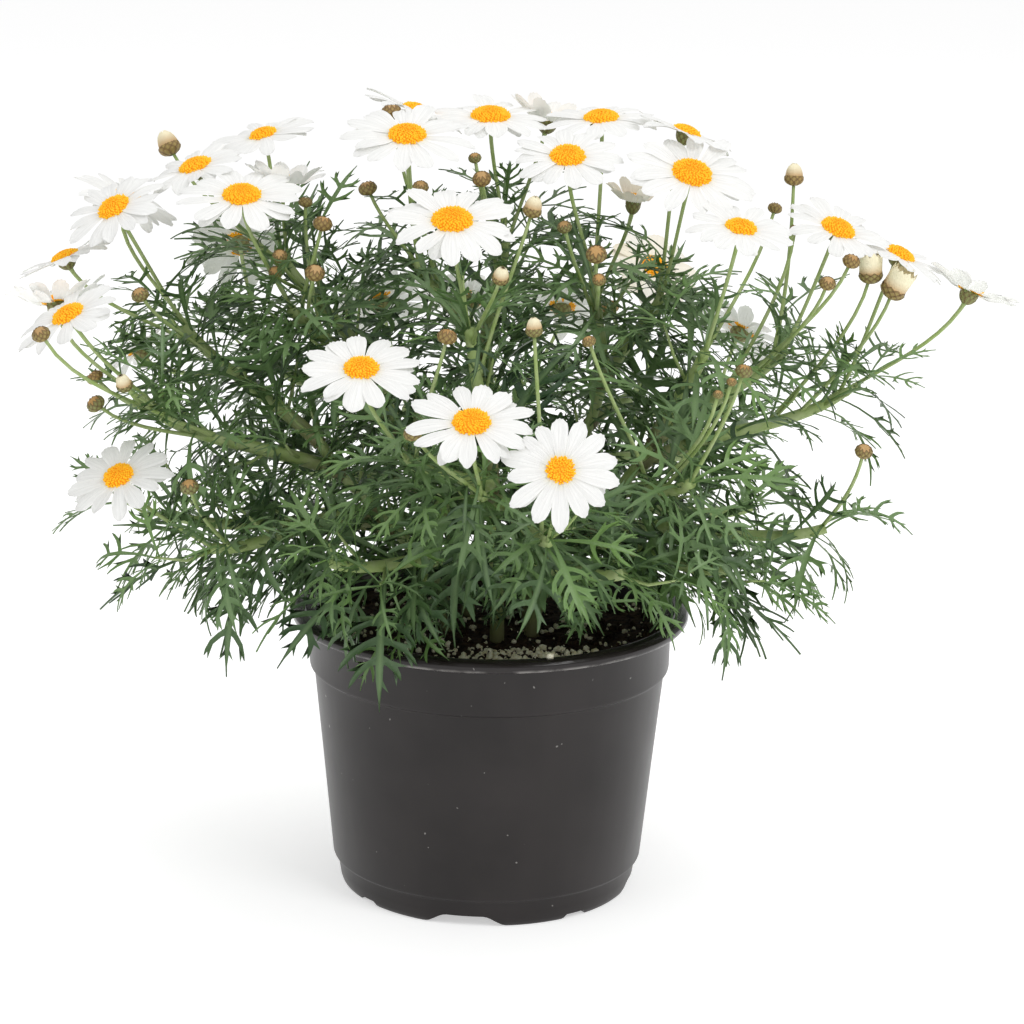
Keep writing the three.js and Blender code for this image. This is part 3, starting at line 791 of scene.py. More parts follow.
@dataclass(frozen=True)
class Shoot:
    """A side shoot: where it leaves its stem, its tip, its blooms and buds, and finer buds."""

    start: float
    tip: Place
    blooms: tuple[Bloom, ...] = ()
    buds: tuple[Place, ...] = ()
    small_buds: tuple[Place, ...] = ()


@dataclass(frozen=True)
class Stem:
    """A leafy stem from its root in the soil to its top."""

    name: str
    root: tuple[float, float]
    top: Place
    shoots: tuple[Shoot, ...]


STEMS = (
    Stem("leafy_stem_left", (-17, -6), (-72, -20, 196), (
        Shoot(0.95, (-126, -4, 236), (
            Bloom((-153, -10, 285), (-135, 35), 47, 14, 13),
            Bloom((-151, 18, 284), (-20, 25), 46, 13, 12),
            Bloom((-174, -2, 263), (170, 25), 46, 12, 12),
        ), ((-141, -30, 254),)),
        Shoot(0.8, (-132, -36, 206), (
            Bloom((-174, -33, 251), (115, 20), 46, 12, 12, 42),
            Bloom((-166, -58, 251), (-150, 30), 46, 14, 12),
        ), ((-173, -88, 250), (-144, -64, 225)), ((-159, -34, 221), (-157, -50, 214))),
        Shoot(0.6, (-112, -52, 156), (
            Bloom((-147, -60, 187), (-120, 35), 44, 13, 13),
        ), ((-118, -74, 187),)),
        Shoot(0.5, (-132, -8, 158)),
    )),
    Stem("leafy_stem_left_back", (-9, 14), (-52, 14, 222), (
        Shoot(0.95, (-88, 16, 262), (
            Bloom((-96, 30, 309), (-150, 18), 45, 12, 12),
            Bloom((-86, 6, 294), (40, 5), 40, 12, 11, 45),
            Bloom((-122, 9, 299), (-150, 21), 44, 14, 12),
        ), ((-136, 46, 301),), ((-88, -20, 262), (-86, -22, 269))),
        Shoot(0.9, (-82, -14, 246), (
            Bloom((-101, -23, 293), (-90, 20), 52, 16, 12),
        ), ((-69, -20, 282), (-71, -40, 266)), ((-77, 0, 287),)),
        Shoot(0.7, (-98, 52, 212), (
            Bloom((-109, 72, 256), (100, 70), 46, 13, 12),
            Bloom((-153, 85, 206), (150, 40), 44, 12, 12),
        )),
        Shoot(0.45, (-88, 78, 160)),
    )),
    Stem("leafy_stem_front", (3, -18), (0, -50, 188), (
        Shoot(0.9, (-34, -76, 200), (
            Bloom((-50, -105, 242), (-90, 24), 50, 14, 13),
        ), ((-18, -90, 252),)),
        Shoot(0.95, (-4, -92, 190), (
            Bloom((-8, -135, 229), (-90, 28), 49, 15, 13),
        ), ((-30, -118, 221),)),
        Shoot(0.85, (22, -100, 174), (
            Bloom((25, -149, 215), (-85, 54), 46, 11.5, 14, 4),
        ), ((15, -100, 257),)),
        Shoot(0.98, (-10, -46, 246), (
            Bloom((-17, -60, 291), (-90, 24), 54, 17, 13),
        ), ((2, -80, 273),), ((14, -50, 294),)),
        Shoot(0.5, (-62, -78, 158)),
        Shoot(0.5, (52, -80, 156)),
    )),
    Stem("leafy_stem_back", (3, 18), (-4, 36, 222), (
        Shoot(0.95, (-32, 8, 262), (
            Bloom((-36, -10, 316), (-90, 20), 54, 16, 13),
            Bloom((-33, 30, 320), (20, 20), 46, 13, 12),
        ), ((-52, 0, 293),), ((-30, -30, 299), (-43, 14, 322))),
        Shoot(0.98, (4, 30, 266), (
            Bloom((-3, 30, 318), (-90, 10), 50, 17, 12),
            Bloom((21, 52, 314), (20, 14), 42, 13, 11, 48, 0.12),
        ), ((-6, -20, 301),), ((-9, 0, 306),)),
        Shoot(0.7, (-38, 84, 182), (
            Bloom((-51, 130, 220), (110, 50), 48, 14, 13),
        )),
        Shoot(0.75, (6, 98, 180), (
            Bloom((-11, 136, 220), (90, 45), 48, 14, 12),
            Bloom((30, 137, 217), (85, 46), 48, 13, 12),
        )),
        Shoot(0.4, (30, 92, 148)),
    )),
    Stem("leafy_stem_right_back", (16, 9), (46, 18, 214), (
        Shoot(0.95, (40, 2, 256), (
            Bloom((28, -19, 310), (-90, 23), 46, 15, 12),
            Bloom((42, 17, 320), (-120, 8), 48, 15, 12),
            Bloom((56, 18, 287), (0, 5), 30, 10, 10, 56, 0.55),
        ), ((39, -60, 279),), ((40, -70, 271), (27, -30, 284))),
        Shoot(0.98, (68, 4, 250), (
            Bloom((77, -25, 305), (-70, 30), 54, 17, 13),
            Bloom((76, 4, 317), (10, 20), 46, 12, 11),
        )),
        Shoot(0.8, (66, 66, 200), (
            Bloom((69, 100, 243), (-60, 40), 46, 13, 10, 2, 0.5),
        ), ((50, 96, 226),)),
        Shoot(0.6, (92, 84, 168), (
            Bloom((109, 120, 211), (50, 45), 48, 14, 12),
        )),
        Shoot(0.45, (110, 40, 152)),
    )),
    Stem("leafy_stem_right", (17, -10), (66, -20, 198), (
        Shoot(0.98, (84, -36, 236), (
            Bloom((95, -55, 289), (-60, 18), 46, 13, 12),
        ), (), ((114, 20, 284),)),
        Shoot(0.95, (118, -12, 232), (
            Bloom((137, -10, 281), (-45, 25), 46, 15, 12),
        ), ((120, 5, 299), (130, -50, 267)), ((140, -40, 274), (120, -10, 281))),
        Shoot(0.85, (142, -4, 212), (
            Bloom((163, -5, 270), (-10, 25), 44, 13, 11),
            Bloom((192, -7, 256), (25, 28), 43, 12, 11, 30),
        ), ((159, -24, 260),), ((150, -20, 265),)),
        Shoot(0.5, (136, -22, 160), (), ((146, -60, 202),)),
        Shoot(0.7, (78, -68, 190), (), ((96, -84, 239),), ((91, -90, 236), (86, -90, 231), (36, -90, 251))),
        Shoot(0.45, (94, -50, 150)),
    )),
)

BLOOMS = tuple(flower for stem in STEMS for shoot in stem.shoots for flower in shoot.blooms)

# Buds that show cream petals, by place.
CREAM_BUDS = {
    (15, -100, 257), (2, -80, 273), (159, -24, 260), (120, 5, 299), (14, -50, 294),
    (-144, -64, 225), (-136, 46, 301), (150, -20, 265),
}

# How large single buds are beside the others, and where the two wide open ones face.
BUD_SCALES = {
    (159, -24, 260): 1.5, (150, -20, 265): 1.3, (-136, 46, 301): 1.25, (120, 5, 299): 1.2,
    (140, -40, 274): 1.05, (14, -50, 294): 1.1, (-159, -34, 221): 0.95, (-157, -50, 214): 0.95,
    (96, -84, 239): 0.85, (91, -90, 236): 0.55, (86, -90, 231): 0.62, (120, -10, 281): 0.6,
    (130, -50, 267): 0.85, (-43, 14, 322): 1.1,
}
WIDE_BUDS = {(159, -24, 260): (0.5, -0.1, 0.85), (150, -20, 265): (-0.05, 0, 1)}
FINE_BUD = 0.8


class Line:
    """A growing line that leaves its start along one heading and reaches its end along another."""

    SAMPLES = 48

    def __init__(self, start: Vector, heading: Vector, end: Vector, arrival: Vector) -> None:
        """Sets the four handles and measures the line.

        Args:
            start: Where it starts.
            heading: Its direction there.
            end: Where it ends.
            arrival: Its direction there.
        """
        reach = (end - start).length
        self.handles = (start, start + heading * reach * 0.36, end - arrival * reach * 0.3, end)
        points = [self.point(i / self.SAMPLES) for i in range(self.SAMPLES + 1)]
        self.marks = [0.0]
        for before, after in zip(points, points[1:]):
            self.marks.append(self.marks[-1] + (after - before).length)
        self.length = self.marks[-1]

    def point(self, time: float) -> Vector:
        """Returns the point at a time from 0 to 1.

        Args:
            time: The time.

        Returns:
            The point, in millimetres.
        """
        a, b, c, d = self.handles
        rest = 1 - time
        return a * rest**3 + b * 3 * rest * rest * time + c * 3 * rest * time * time + d * time**3

    def time(self, share: float) -> float:
        """Returns the time at which a share of the length is reached.

        Args:
            share: The share, from 0 to 1.

        Returns:
            The time, from 0 to 1.
        """
        goal = min(max(share, 0.0), 1.0) * self.length
        for i in range(self.SAMPLES):
            if self.marks[i + 1] >= goal:
                step = self.marks[i + 1] - self.marks[i]
                return (i + (goal - self.marks[i]) / max(step, 1e-9)) / self.SAMPLES
        return 1.0

    def at(self, share: float) -> Vector:
        """Returns the point at a share of the length."""
        return self.point(self.time(share))

    def heading(self, share: float) -> Vector:
        """Returns the direction of the line at a share of the length."""
        time = self.time(share)
        return (self.point(min(time + 1e-3, 1)) - self.point(max(time - 1e-3, 0))).normalized()


class Kind(Enum):
    """What a line of the plant is, with the share of it that bears leaves."""

    MAIN = (0.1, 1.0)
    SHOOT = (0.1, 1.0)
    BLOOM_STALK = (0.05, 0.4)
    BUD_STALK = (0.0, 0.3)


@dataclass
class Axis:
    """A line that leaves grow on, with its running number."""

    kind: Kind
    line: Line
    number: int
    bloom: Bloom | None = None
    bud: Place | None = None
    scale: float = 1.0

    @property
    def is_stalk(self) -> bool:
        """True for the stalk of a bloom or a bud."""
        return self.kind in (Kind.BLOOM_STALK, Kind.BUD_STALK)


def lay_out(stem: Stem, first: int) -> list[Axis]:
    """Lays out the lines of a stem, numbered on from first as in its solid.

    Args:
        stem: The stem.
        first: How many lines came before it.

    Returns:
        Its lines: the main stem, then each shoot with its stalks, then the finer bud stalks.
    """
    axes: list[Axis] = []

    def grow(kind: Kind, line: Line, **what: object) -> Axis:
        """Adds the next line."""
        axes.append(Axis(kind, line, first + len(axes) + 1, **what))
        return axes[-1]

    def stalk(parent: Line, end: Vector, arrival: Vector, order: float) -> Line:
        """Returns the stalk that leaves a shoot near its end.

        Args:
            parent: The shoot.
            end: Where the stalk ends.
            arrival: Its direction there.
            order: How many stalks are nearer to the tip.

        Returns:
            The stalk.
        """
        start = FIRST_STALK - STALK_SPACING * order
        way = (end - parent.at(start)).normalized()
        return Line(parent.at(start), (parent.heading(start) + way * 4).normalized(), end, arrival)

    root, top = Vector((*stem.root, MAIN_START)), Vector(stem.top)
    main = grow(Kind.MAIN, Line(root, UP, top, ((top - root).normalized() * 3 + UP).normalized()))
    late: list[tuple[Line, Place, float]] = []
    for shoot in stem.shoots:
        start, tip = main.line.at(shoot.start), Vector(shoot.tip)
        way = (tip - start).normalized()
        heading = (main.line.heading(shoot.start) + way * 2.5).normalized()
        parent = grow(Kind.SHOOT, Line(start, heading, tip, (way * 3 + UP).normalized())).line
        for order, flower in enumerate(shoot.blooms):
            foot = Vector(flower.place) - flower.aim * (flower.hub_depth + CUP_GAP)
            grow(Kind.BLOOM_STALK, stalk(parent, foot, flower.aim, order), bloom=flower)
        for order, place in enumerate(shoot.buds):
            rise = ((Vector(place) - tip).normalized() + UP).normalized()
            end = Vector(place) + rise * BUD_SMALL
            line = stalk(parent, end, rise, order + len(shoot.blooms))
            grow(Kind.BUD_STALK, line, bud=place, scale=BUD_SCALES.get(place, 1.0))
        late += [(parent, place, 3.5 + order) for order, place in enumerate(shoot.small_buds)]
    for parent, place, order in late:
        rise = ((Vector(place) - parent.at(1)).normalized() + UP).normalized()
        line = stalk(parent, Vector(place) + rise * BUD_SMALL, rise, order)
        grow(Kind.BUD_STALK, line, bud=place, scale=BUD_SCALES.get(place, FINE_BUD))
    return axes


# Pot and soil.


@dataclass(frozen=True)
class Arch:
    """A low wave-shaped opening in the pot's foot."""

    height: float
    top: float
    bottom: float

    def outline(self) -> list[tuple[float, float]]:
        """Returns it as (across, height) points, anticlockwise from below the foot.

        Returns:
            The points.
        """
        flare = (self.bottom - self.top) / 2
        right = [
            (self.top / 2 + flare * share, self.height * (1 - ease(share)))
            for share in (1.0, 0.85, 0.7, 0.5, 0.3, 0.15, 0.0)
        ]
        low = [(-self.bottom / 2, -1.0), (self.bottom / 2, -1.0)]
        return [*low, *right, *((-across, height) for across, height in reversed(right))]


@dataclass
class NurseryPot:
    """The round pot, with its rolled lip, collar, stepped foot and drain arches."""

    wide: Arch = Arch(4.6, 15.0, 36.0)
    small: Arch = Arch(2.2, 8.0, 13.0)
    steps: int = 168
    arches: int = 8
    arch_bearing: float = -98.0
    hole_radius: float = 2.6
    hole_place: Place = (51.5, 0, 6)
    hole_depth: float = 12.0
    crease: float = 32.0
    plastic: PotPlastic = field(default_factory=PotPlastic)

    def build(self) -> None:
        """Turns the wall, cuts the foot and dresses it."""
        bm = turned(self.profile(), self.steps)
        self.soften(bm)
        to_metres(bm)
        pot = settle(bm, "pot_wall", self.plastic.make(), "pot_plastic", "pot")
        self.cut(pot)

    def profile(self) -> list[tuple[float, float]]:
        """Returns the wall from the middle of the underside round to the middle of the floor.

        Returns:
            The pairs of radius and height.
        """
        foot = [(0, 0), (47, 0), (48, 3.5), (56, 3.5), (57, 0), (60, 0), (60.9, 0.8), (61.5, 2.4), (62.1, 6)]
        step = [(62.5, 10.2), (62.9, 11.3), (64.4, 12.0), (64.75, 12.9)]
        wall = [(68.9, 54), (72.9, 92.6), (73.1, 93.6), (74.7, 94.6), (74.9, 95.8), (75.2, 113.2)]
        lip = [
            (75.5, 113.9), (77.2, 114.1), (80.4, 114.3), (81.8, 114.9), (82.45, 116.2), (82.4, 117.6),
            (81.6, 118.8), (80.0, 119.4), (77.6, 119.5), (76.6, 119.0), (76.2, 117.8),
        ]
        inside = [(72.6, 114.2), (70.7, 95), (62.2, 12.5), (58.6, 6), (0, 6)]
        return foot + step + wall + lip + inside

    def soften(self, bm: bmesh.types.BMesh) -> None:
        """Rounds the sharp rings of the pot a little.

        Args:
            bm: The wall, in millimetres.
        """
        sharp = [
            edge for edge in bm.edges
            if len(edge.link_faces) == 2
            and edge.calc_face_angle(0) > 0.5
            and abs(edge.verts[0].co.z - edge.verts[1].co.z) < 1e-3
        ]
        bmesh.ops.bevel(bm, geom=sharp, offset=0.25, segments=2, profile=0.5, affect="EDGES", material=-1)

    def cut(self, pot: bpy.types.Object) -> None:
        """Cuts the arches and the small holes behind the wide ones out of the foot.

        Args:
            pot: The pot, in metres.
        """
        bm = bmesh.new()
        for i in range(self.arches):
            turn = math.radians(self.arch_bearing + 360 / self.arches * i)
            self.arch(bm, turn, self.small if i % 2 else self.wide)
            if i % 2 == 0:
                bmesh.ops.create_cone(
                    bm,
                    cap_ends=True,
                    segments=20,
                    radius1=self.hole_radius,
                    radius2=self.hole_radius,
                    depth=self.hole_depth,
                    matrix=Matrix.Rotation(turn, 4, "Z") @ Matrix.Translation(self.hole_place),
                )
        to_metres(bm)
        cutter = placed("foot_cutter", shape_of(bm, "foot_cutter"))
        carve = pot.modifiers.new("foot", "BOOLEAN")
        carve.operation, carve.solver, carve.object = "DIFFERENCE", "EXACT", cutter
        graph = bpy.context.evaluated_depsgraph_get()
        carved = bpy.data.meshes.new_from_object(pot.evaluated_get(graph))
        pot.modifiers.clear()
        old, pot.data = pot.data, carved
        pot.data.name = "pot_wall"
        bpy.data.meshes.remove(old)
        bpy.data.objects.remove(cutter)
        pot.data.set_sharp_from_angle(angle=math.radians(self.crease))

    @staticmethod
    def arch(bm: bmesh.types.BMesh, turn: float, shape: Arch) -> None:
        """Adds the cutter of one arch, a low wave through the foot.

        Args:
            bm: Where the cutter goes.
            turn: Its bearing, in radians.
            shape: Its outline.
        """
        seat = Matrix.Rotation(turn, 4, "Z")
        inner, through = 54.5, 17
        verts = [bm.verts.new(seat @ Vector((inner, across, up))) for across, up in shape.outline()]
        face = bm.faces.new(verts)
        swept = bmesh.ops.extrude_face_region(bm, geom=[face])["geom"]
        moved = [part for part in swept if isinstance(part, bmesh.types.BMVert)]
        bmesh.ops.translate(bm, vec=seat @ Vector((through, 0, 0)), verts=moved)
        bmesh.ops.recalc_face_normals(bm, faces=bm.faces)


@dataclass
class SoilBed:
    """Compost that fills the pot, with crumbs and grains of perlite over it."""

    top: float = SOIL_TOP
    radius: float = 71.6
    crumbs: int = 620
    grains: int = 1300
    patch: tuple[float, float] = (20.0, -50.0)
    patch_size: tuple[float, float] = (46.0, 21.0)
    strays: tuple[Place, ...] = ((-33, -71.2, 1.9), (24, -74.7, 1.4), (-55.5, -55.5, 1.2))
    holes: tuple[tuple[float, float], ...] = tuple(stem.root for stem in STEMS)
    stem_gap: float = 5.0

    def build(self) -> None:
        """Turns the bed, roughens its top and scatters the crumbs."""
        bm = turned(self.profile(), 72)
        for vert in bm.verts:
            if vert.co.z > self.top - 3:
                vert.co.z = self.height(vert.co.x, vert.co.y)
        bmesh.ops.recalc_face_normals(bm, faces=bm.faces)
        to_metres(bm)
        soil = PottingSoil().make()
        settle(bm, "soil_bed", soil, "soil", "soil")
        self.scatter("soil_crumbs", self.crumbs, (0.5, 2.1), soil, 30)
        self.scatter("perlite_grains", self.grains, (0.45, 1.7), PerliteGrain().make(), 40, patchy=True)

    def profile(self) -> list[tuple[float, float]]:
        """Returns the bed from the middle of its foot round to the middle of its top.

        Returns:
            The pairs of radius and height.
        """
        rings = 26
        top = [(self.radius * (1 - i / rings), self.top) for i in range(rings)]
        return [(0, 6.5), (58.0, 6.5), (61.7, 12.5), *top, (0, self.top)]

    def height(self, x: float, y: float) -> float:
        """Returns the height of the soil at a place, level with the pot's wall at its edge."""
        rough = noise.noise(Vector((x, y, 3)) / 14) * 2.0 + noise.noise(Vector((x, y, 9)) / 4.5) * 1.1
        return self.top + rough * 0.8 - 0.6

    def scatter(
        self,
        name: str,
        count: int,
        sizes: tuple[float, float],
        material: bpy.types.Material,
        key: int,
        patchy: bool = False,
    ) -> None:
        """Scatters lumps over the soil.

        Args:
            name: The piece's name.
            count: How many lumps.
            sizes: The smallest and largest radius.
            material: Their finish.
            key: Keeps this scatter apart from the others.
            patchy: True where most lie in one patch at the front, with a few strays on the lip.
        """
        lump = lump_shape()
        heap = Heap()
        for i in range(count):
            out = (self.radius - 2) * math.sqrt(draw(i, key))
            turn = 2 * math.pi * draw(i, key + 1)
            x, y = out * math.cos(turn), out * math.sin(turn)
            if patchy and i % 4:
                x = self.patch[0] + self.patch_size[0] * (draw(i, key) + draw(i, key + 9) - 1)
                y = self.patch[1] + self.patch_size[1] * (draw(i, key + 1) + draw(i, key + 8) - 1)
            in_stem = any(math.hypot(x - a, y - b) < self.stem_gap for a, b in self.holes)
            if math.hypot(x, y) > self.radius - 2 or in_stem:
                continue
            size = blend(*sizes, draw(i, key + 2) ** 1.8)
            self.lump(heap, lump, Vector((x, y, self.height(x, y) + size * 0.35)), size, i + key)
        for i, (x, y, size) in enumerate(self.strays if patchy else ()):
            self.lump(heap, lump, Vector((x, y, POT_HEIGHT + size * 0.5)), size, i + 900)
        heap.piece(name, material, "soil")

    @staticmethod
    def lump(heap: Heap, shape: bpy.types.Mesh, centre: Vector, size: float, key: int) -> None:
        """Sets down one rough lump.

        Args:
            heap: Where it goes.
            shape: The round lump that it is a copy of.
            centre: Its middle.
            size: Its radius.
            key: Numbers its draws.
        """
        squash = Vector(tuple(between(0.65, 1.2, key, 33 + k) for k in range(3))) * size

        def place(point: Vector) -> Vector:
            """Roughens the lump."""
            rough = 1 + 0.35 * noise.noise(point * 1.7 + centre)
            return centre + Vector(tuple(a * b for a, b in zip(point, squash))) * rough

        heap.add(shape, place, lambda point: (0.5, 0.0, 0.0))


# Stems, leaves and buds.


def tube(
    heap: Heap, line: Line, rings: list[tuple[float, float]], sides: int, woody: Callable[[float], float]
) -> None:
    """Sweeps a round stem along a line.

    Args:
        heap: Where the stem goes.
        line: Its middle.
        rings: The share of the length and the radius of each ring.
        sides: How many sides it has.
        woody: Gives how woody the stem is at a share of its length.
    """
    bm = grained()
    tone = bm.verts.layers.float_color.new("tone")
    made = bmesh.ops.create_circle(bm, cap_ends=True, segments=sides, radius=1)["verts"]
    spokes = [vert.co.copy() for vert in made]
    run = line.at(1) - line.at(0)
    level = Vector((run.y, -run.x, 0))
    reference = level.normalized() if level.length > 0.2 * run.length else Vector((1, 0, 0))
    edges = list(bm.edges)
    ring = made
    for i, (share, radius) in enumerate(rings):
        if i:
            swept = bmesh.ops.extrude_edge_only(bm, edges=edges)["geom"]
            fresh = {vert for vert in swept if isinstance(vert, bmesh.types.BMVert)}
            swept_edges = [part for part in swept if isinstance(part, bmesh.types.BMEdge)]
            edges = [edge for edge in swept_edges if set(edge.verts) <= fresh]
            ring = [next(e.other_vert(v) for e in v.link_edges if e.other_vert(v) in fresh) for v in ring]
        heading = line.heading(share)
        across = (reference - heading * reference.dot(heading)).normalized()
        third = heading.cross(across)
        for vert, spoke in zip(ring, spokes):
            vert.co = line.at(share) + (across * spoke.x + third * spoke.y) * radius
            vert[tone] = (0.5, woody(share), 0, 1)
    bmesh.ops.contextual_create(bm, geom=edges)
    bmesh.ops.recalc_face_normals(bm, faces=bm.faces)
    mesh = shape_of(bm, "stem")
    heap.bm.from_mesh(mesh)
    bpy.data.meshes.remove(mesh)


@dataclass
class Seat:
    """Where a leaf sits: its foot, its three directions and its bend."""

    foot: Vector
    along: Vector
    side: Vector
    top: Vector
    bend: float

    def point(self, distance: float, across: float, height: float) -> Vector:
        """Returns a point of the arched blade, as distance along, to the left of and above its rib.

        Args:
            distance: How far along the rib.
            across: How far to the left of it.
            height: How far above it.

        Returns:
            The point, in millimetres.
        """
        angle = self.bend * distance
        along = math.sin(angle) / self.bend - math.sin(angle) * height
        rise = (1 - math.cos(angle)) / self.bend + math.cos(angle) * height
        return self.foot + self.side * across + self.along * along + self.top * rise


def seat_leaf(
    foot: Vector, tangent: Vector, turn: float, identity: int, share: float, length: float
) -> Seat:
    """Seats a leaf on a stem.

    Args:
        foot: Where it grows from.
        tangent: The direction of the stem there.
        turn: Its turn round the stem, in degrees.
        identity: Its number, which all its draws use.
        share: How far along the stem it is, because higher leaves stand closer to it.
        length: Its length.

    Returns:
        The seat.
    """
    reference = UP if abs(tangent.z) < 0.9 else Vector((1, 0, 0))
    first = tangent.cross(reference).normalized()
    second = tangent.cross(first)
    bearing = math.radians(turn)
    radial = first * math.cos(bearing) + second * math.sin(bearing)
    lean = math.radians(between(*LEAF_LEAN, identity, 1) - CLOSER_AT_TIP * share)
    along = radial * math.sin(lean) + tangent * math.cos(lean)
    sky = tangent * 0.6 + UP * 0.5
    normal = (sky - along * sky.dot(along)).normalized()
    side = normal.cross(along)
    roll = math.radians(between(*LEAF_ROLL, identity, 2))
    top = normal * math.cos(roll) + side * math.sin(roll)
    bend = -math.radians(between(*LEAF_BEND, identity, 4)) / length
    return Seat(foot, along, top.cross(along), top, bend)


def hung_leaf(foot: Vector, turn: float, identity: int, length: float) -> Seat:
    """Seats a leaf that leaves the underside of a shoot outwards and hangs down in an arch.

    Args:
        foot: Where it grows from.
        turn: Its turn in degrees, where 180 is straight outwards.
        identity: Its number, which all its draws use.
        length: Its length.

    Returns:
        The seat.
    """
    bearing = math.atan2(foot.y, foot.x) + math.radians(turn - 180)
    out = Vector((math.cos(bearing), math.sin(bearing), 0))
    slope = math.radians(between(*HUNG_SLOPE, identity, 1))
    along = (out * math.cos(slope) + UP * math.sin(slope)).normalized()
    top = (UP - along * along.z).normalized()
    side = top.cross(along)
    roll = math.radians(between(*LEAF_ROLL, identity, 2))
    top = top * math.cos(roll) + side * math.sin(roll)
    bend = -math.radians(between(*HUNG_BEND, identity, 4)) / length
    return Seat(foot, along, top.cross(along), top, bend)


def in_the_way(point: Vector) -> bool:
    """True where a point of a leaf would be in the pot, in the soil or among petals.

    Args:
        point: The point.

    Returns:
        True where no leaf may be.
    """
    out = math.hypot(point.x, point.y)
    at_lip = BODY_TOP_RADIUS - LEAF_CLEARANCE < out < LIP_RADIUS + LEAF_CLEARANCE
    if point.z < LEAF_CLEARANCE or (at_lip and point.z < POT_HEIGHT + LEAF_CLEARANCE):
        return True
    if point.z < SOIL_TOP + LEAF_CLEARANCE and out < LIP_RADIUS:
        return True
    for flower in BLOOMS:
        offset = point - Vector(flower.place)
        if offset.length < flower.width / 2 + NEAR_BLOOM:
            height = offset.dot(flower.aim)
            spread = math.sqrt(max(0.0, offset.length_squared - height * height))
            among = -PETALS_BELOW < height < PETALS_ABOVE
            if among and spread < flower.width / 2 + PETAL_CLEARANCE:
                return True
    return False


@dataclass(frozen=True)
class Lobe:
    """One lobe of a blade: its side, where it leaves the rib, and its tip."""

    hand: int
    root: float
    tip: Vector
    width: float
    teeth: tuple[bool, bool]


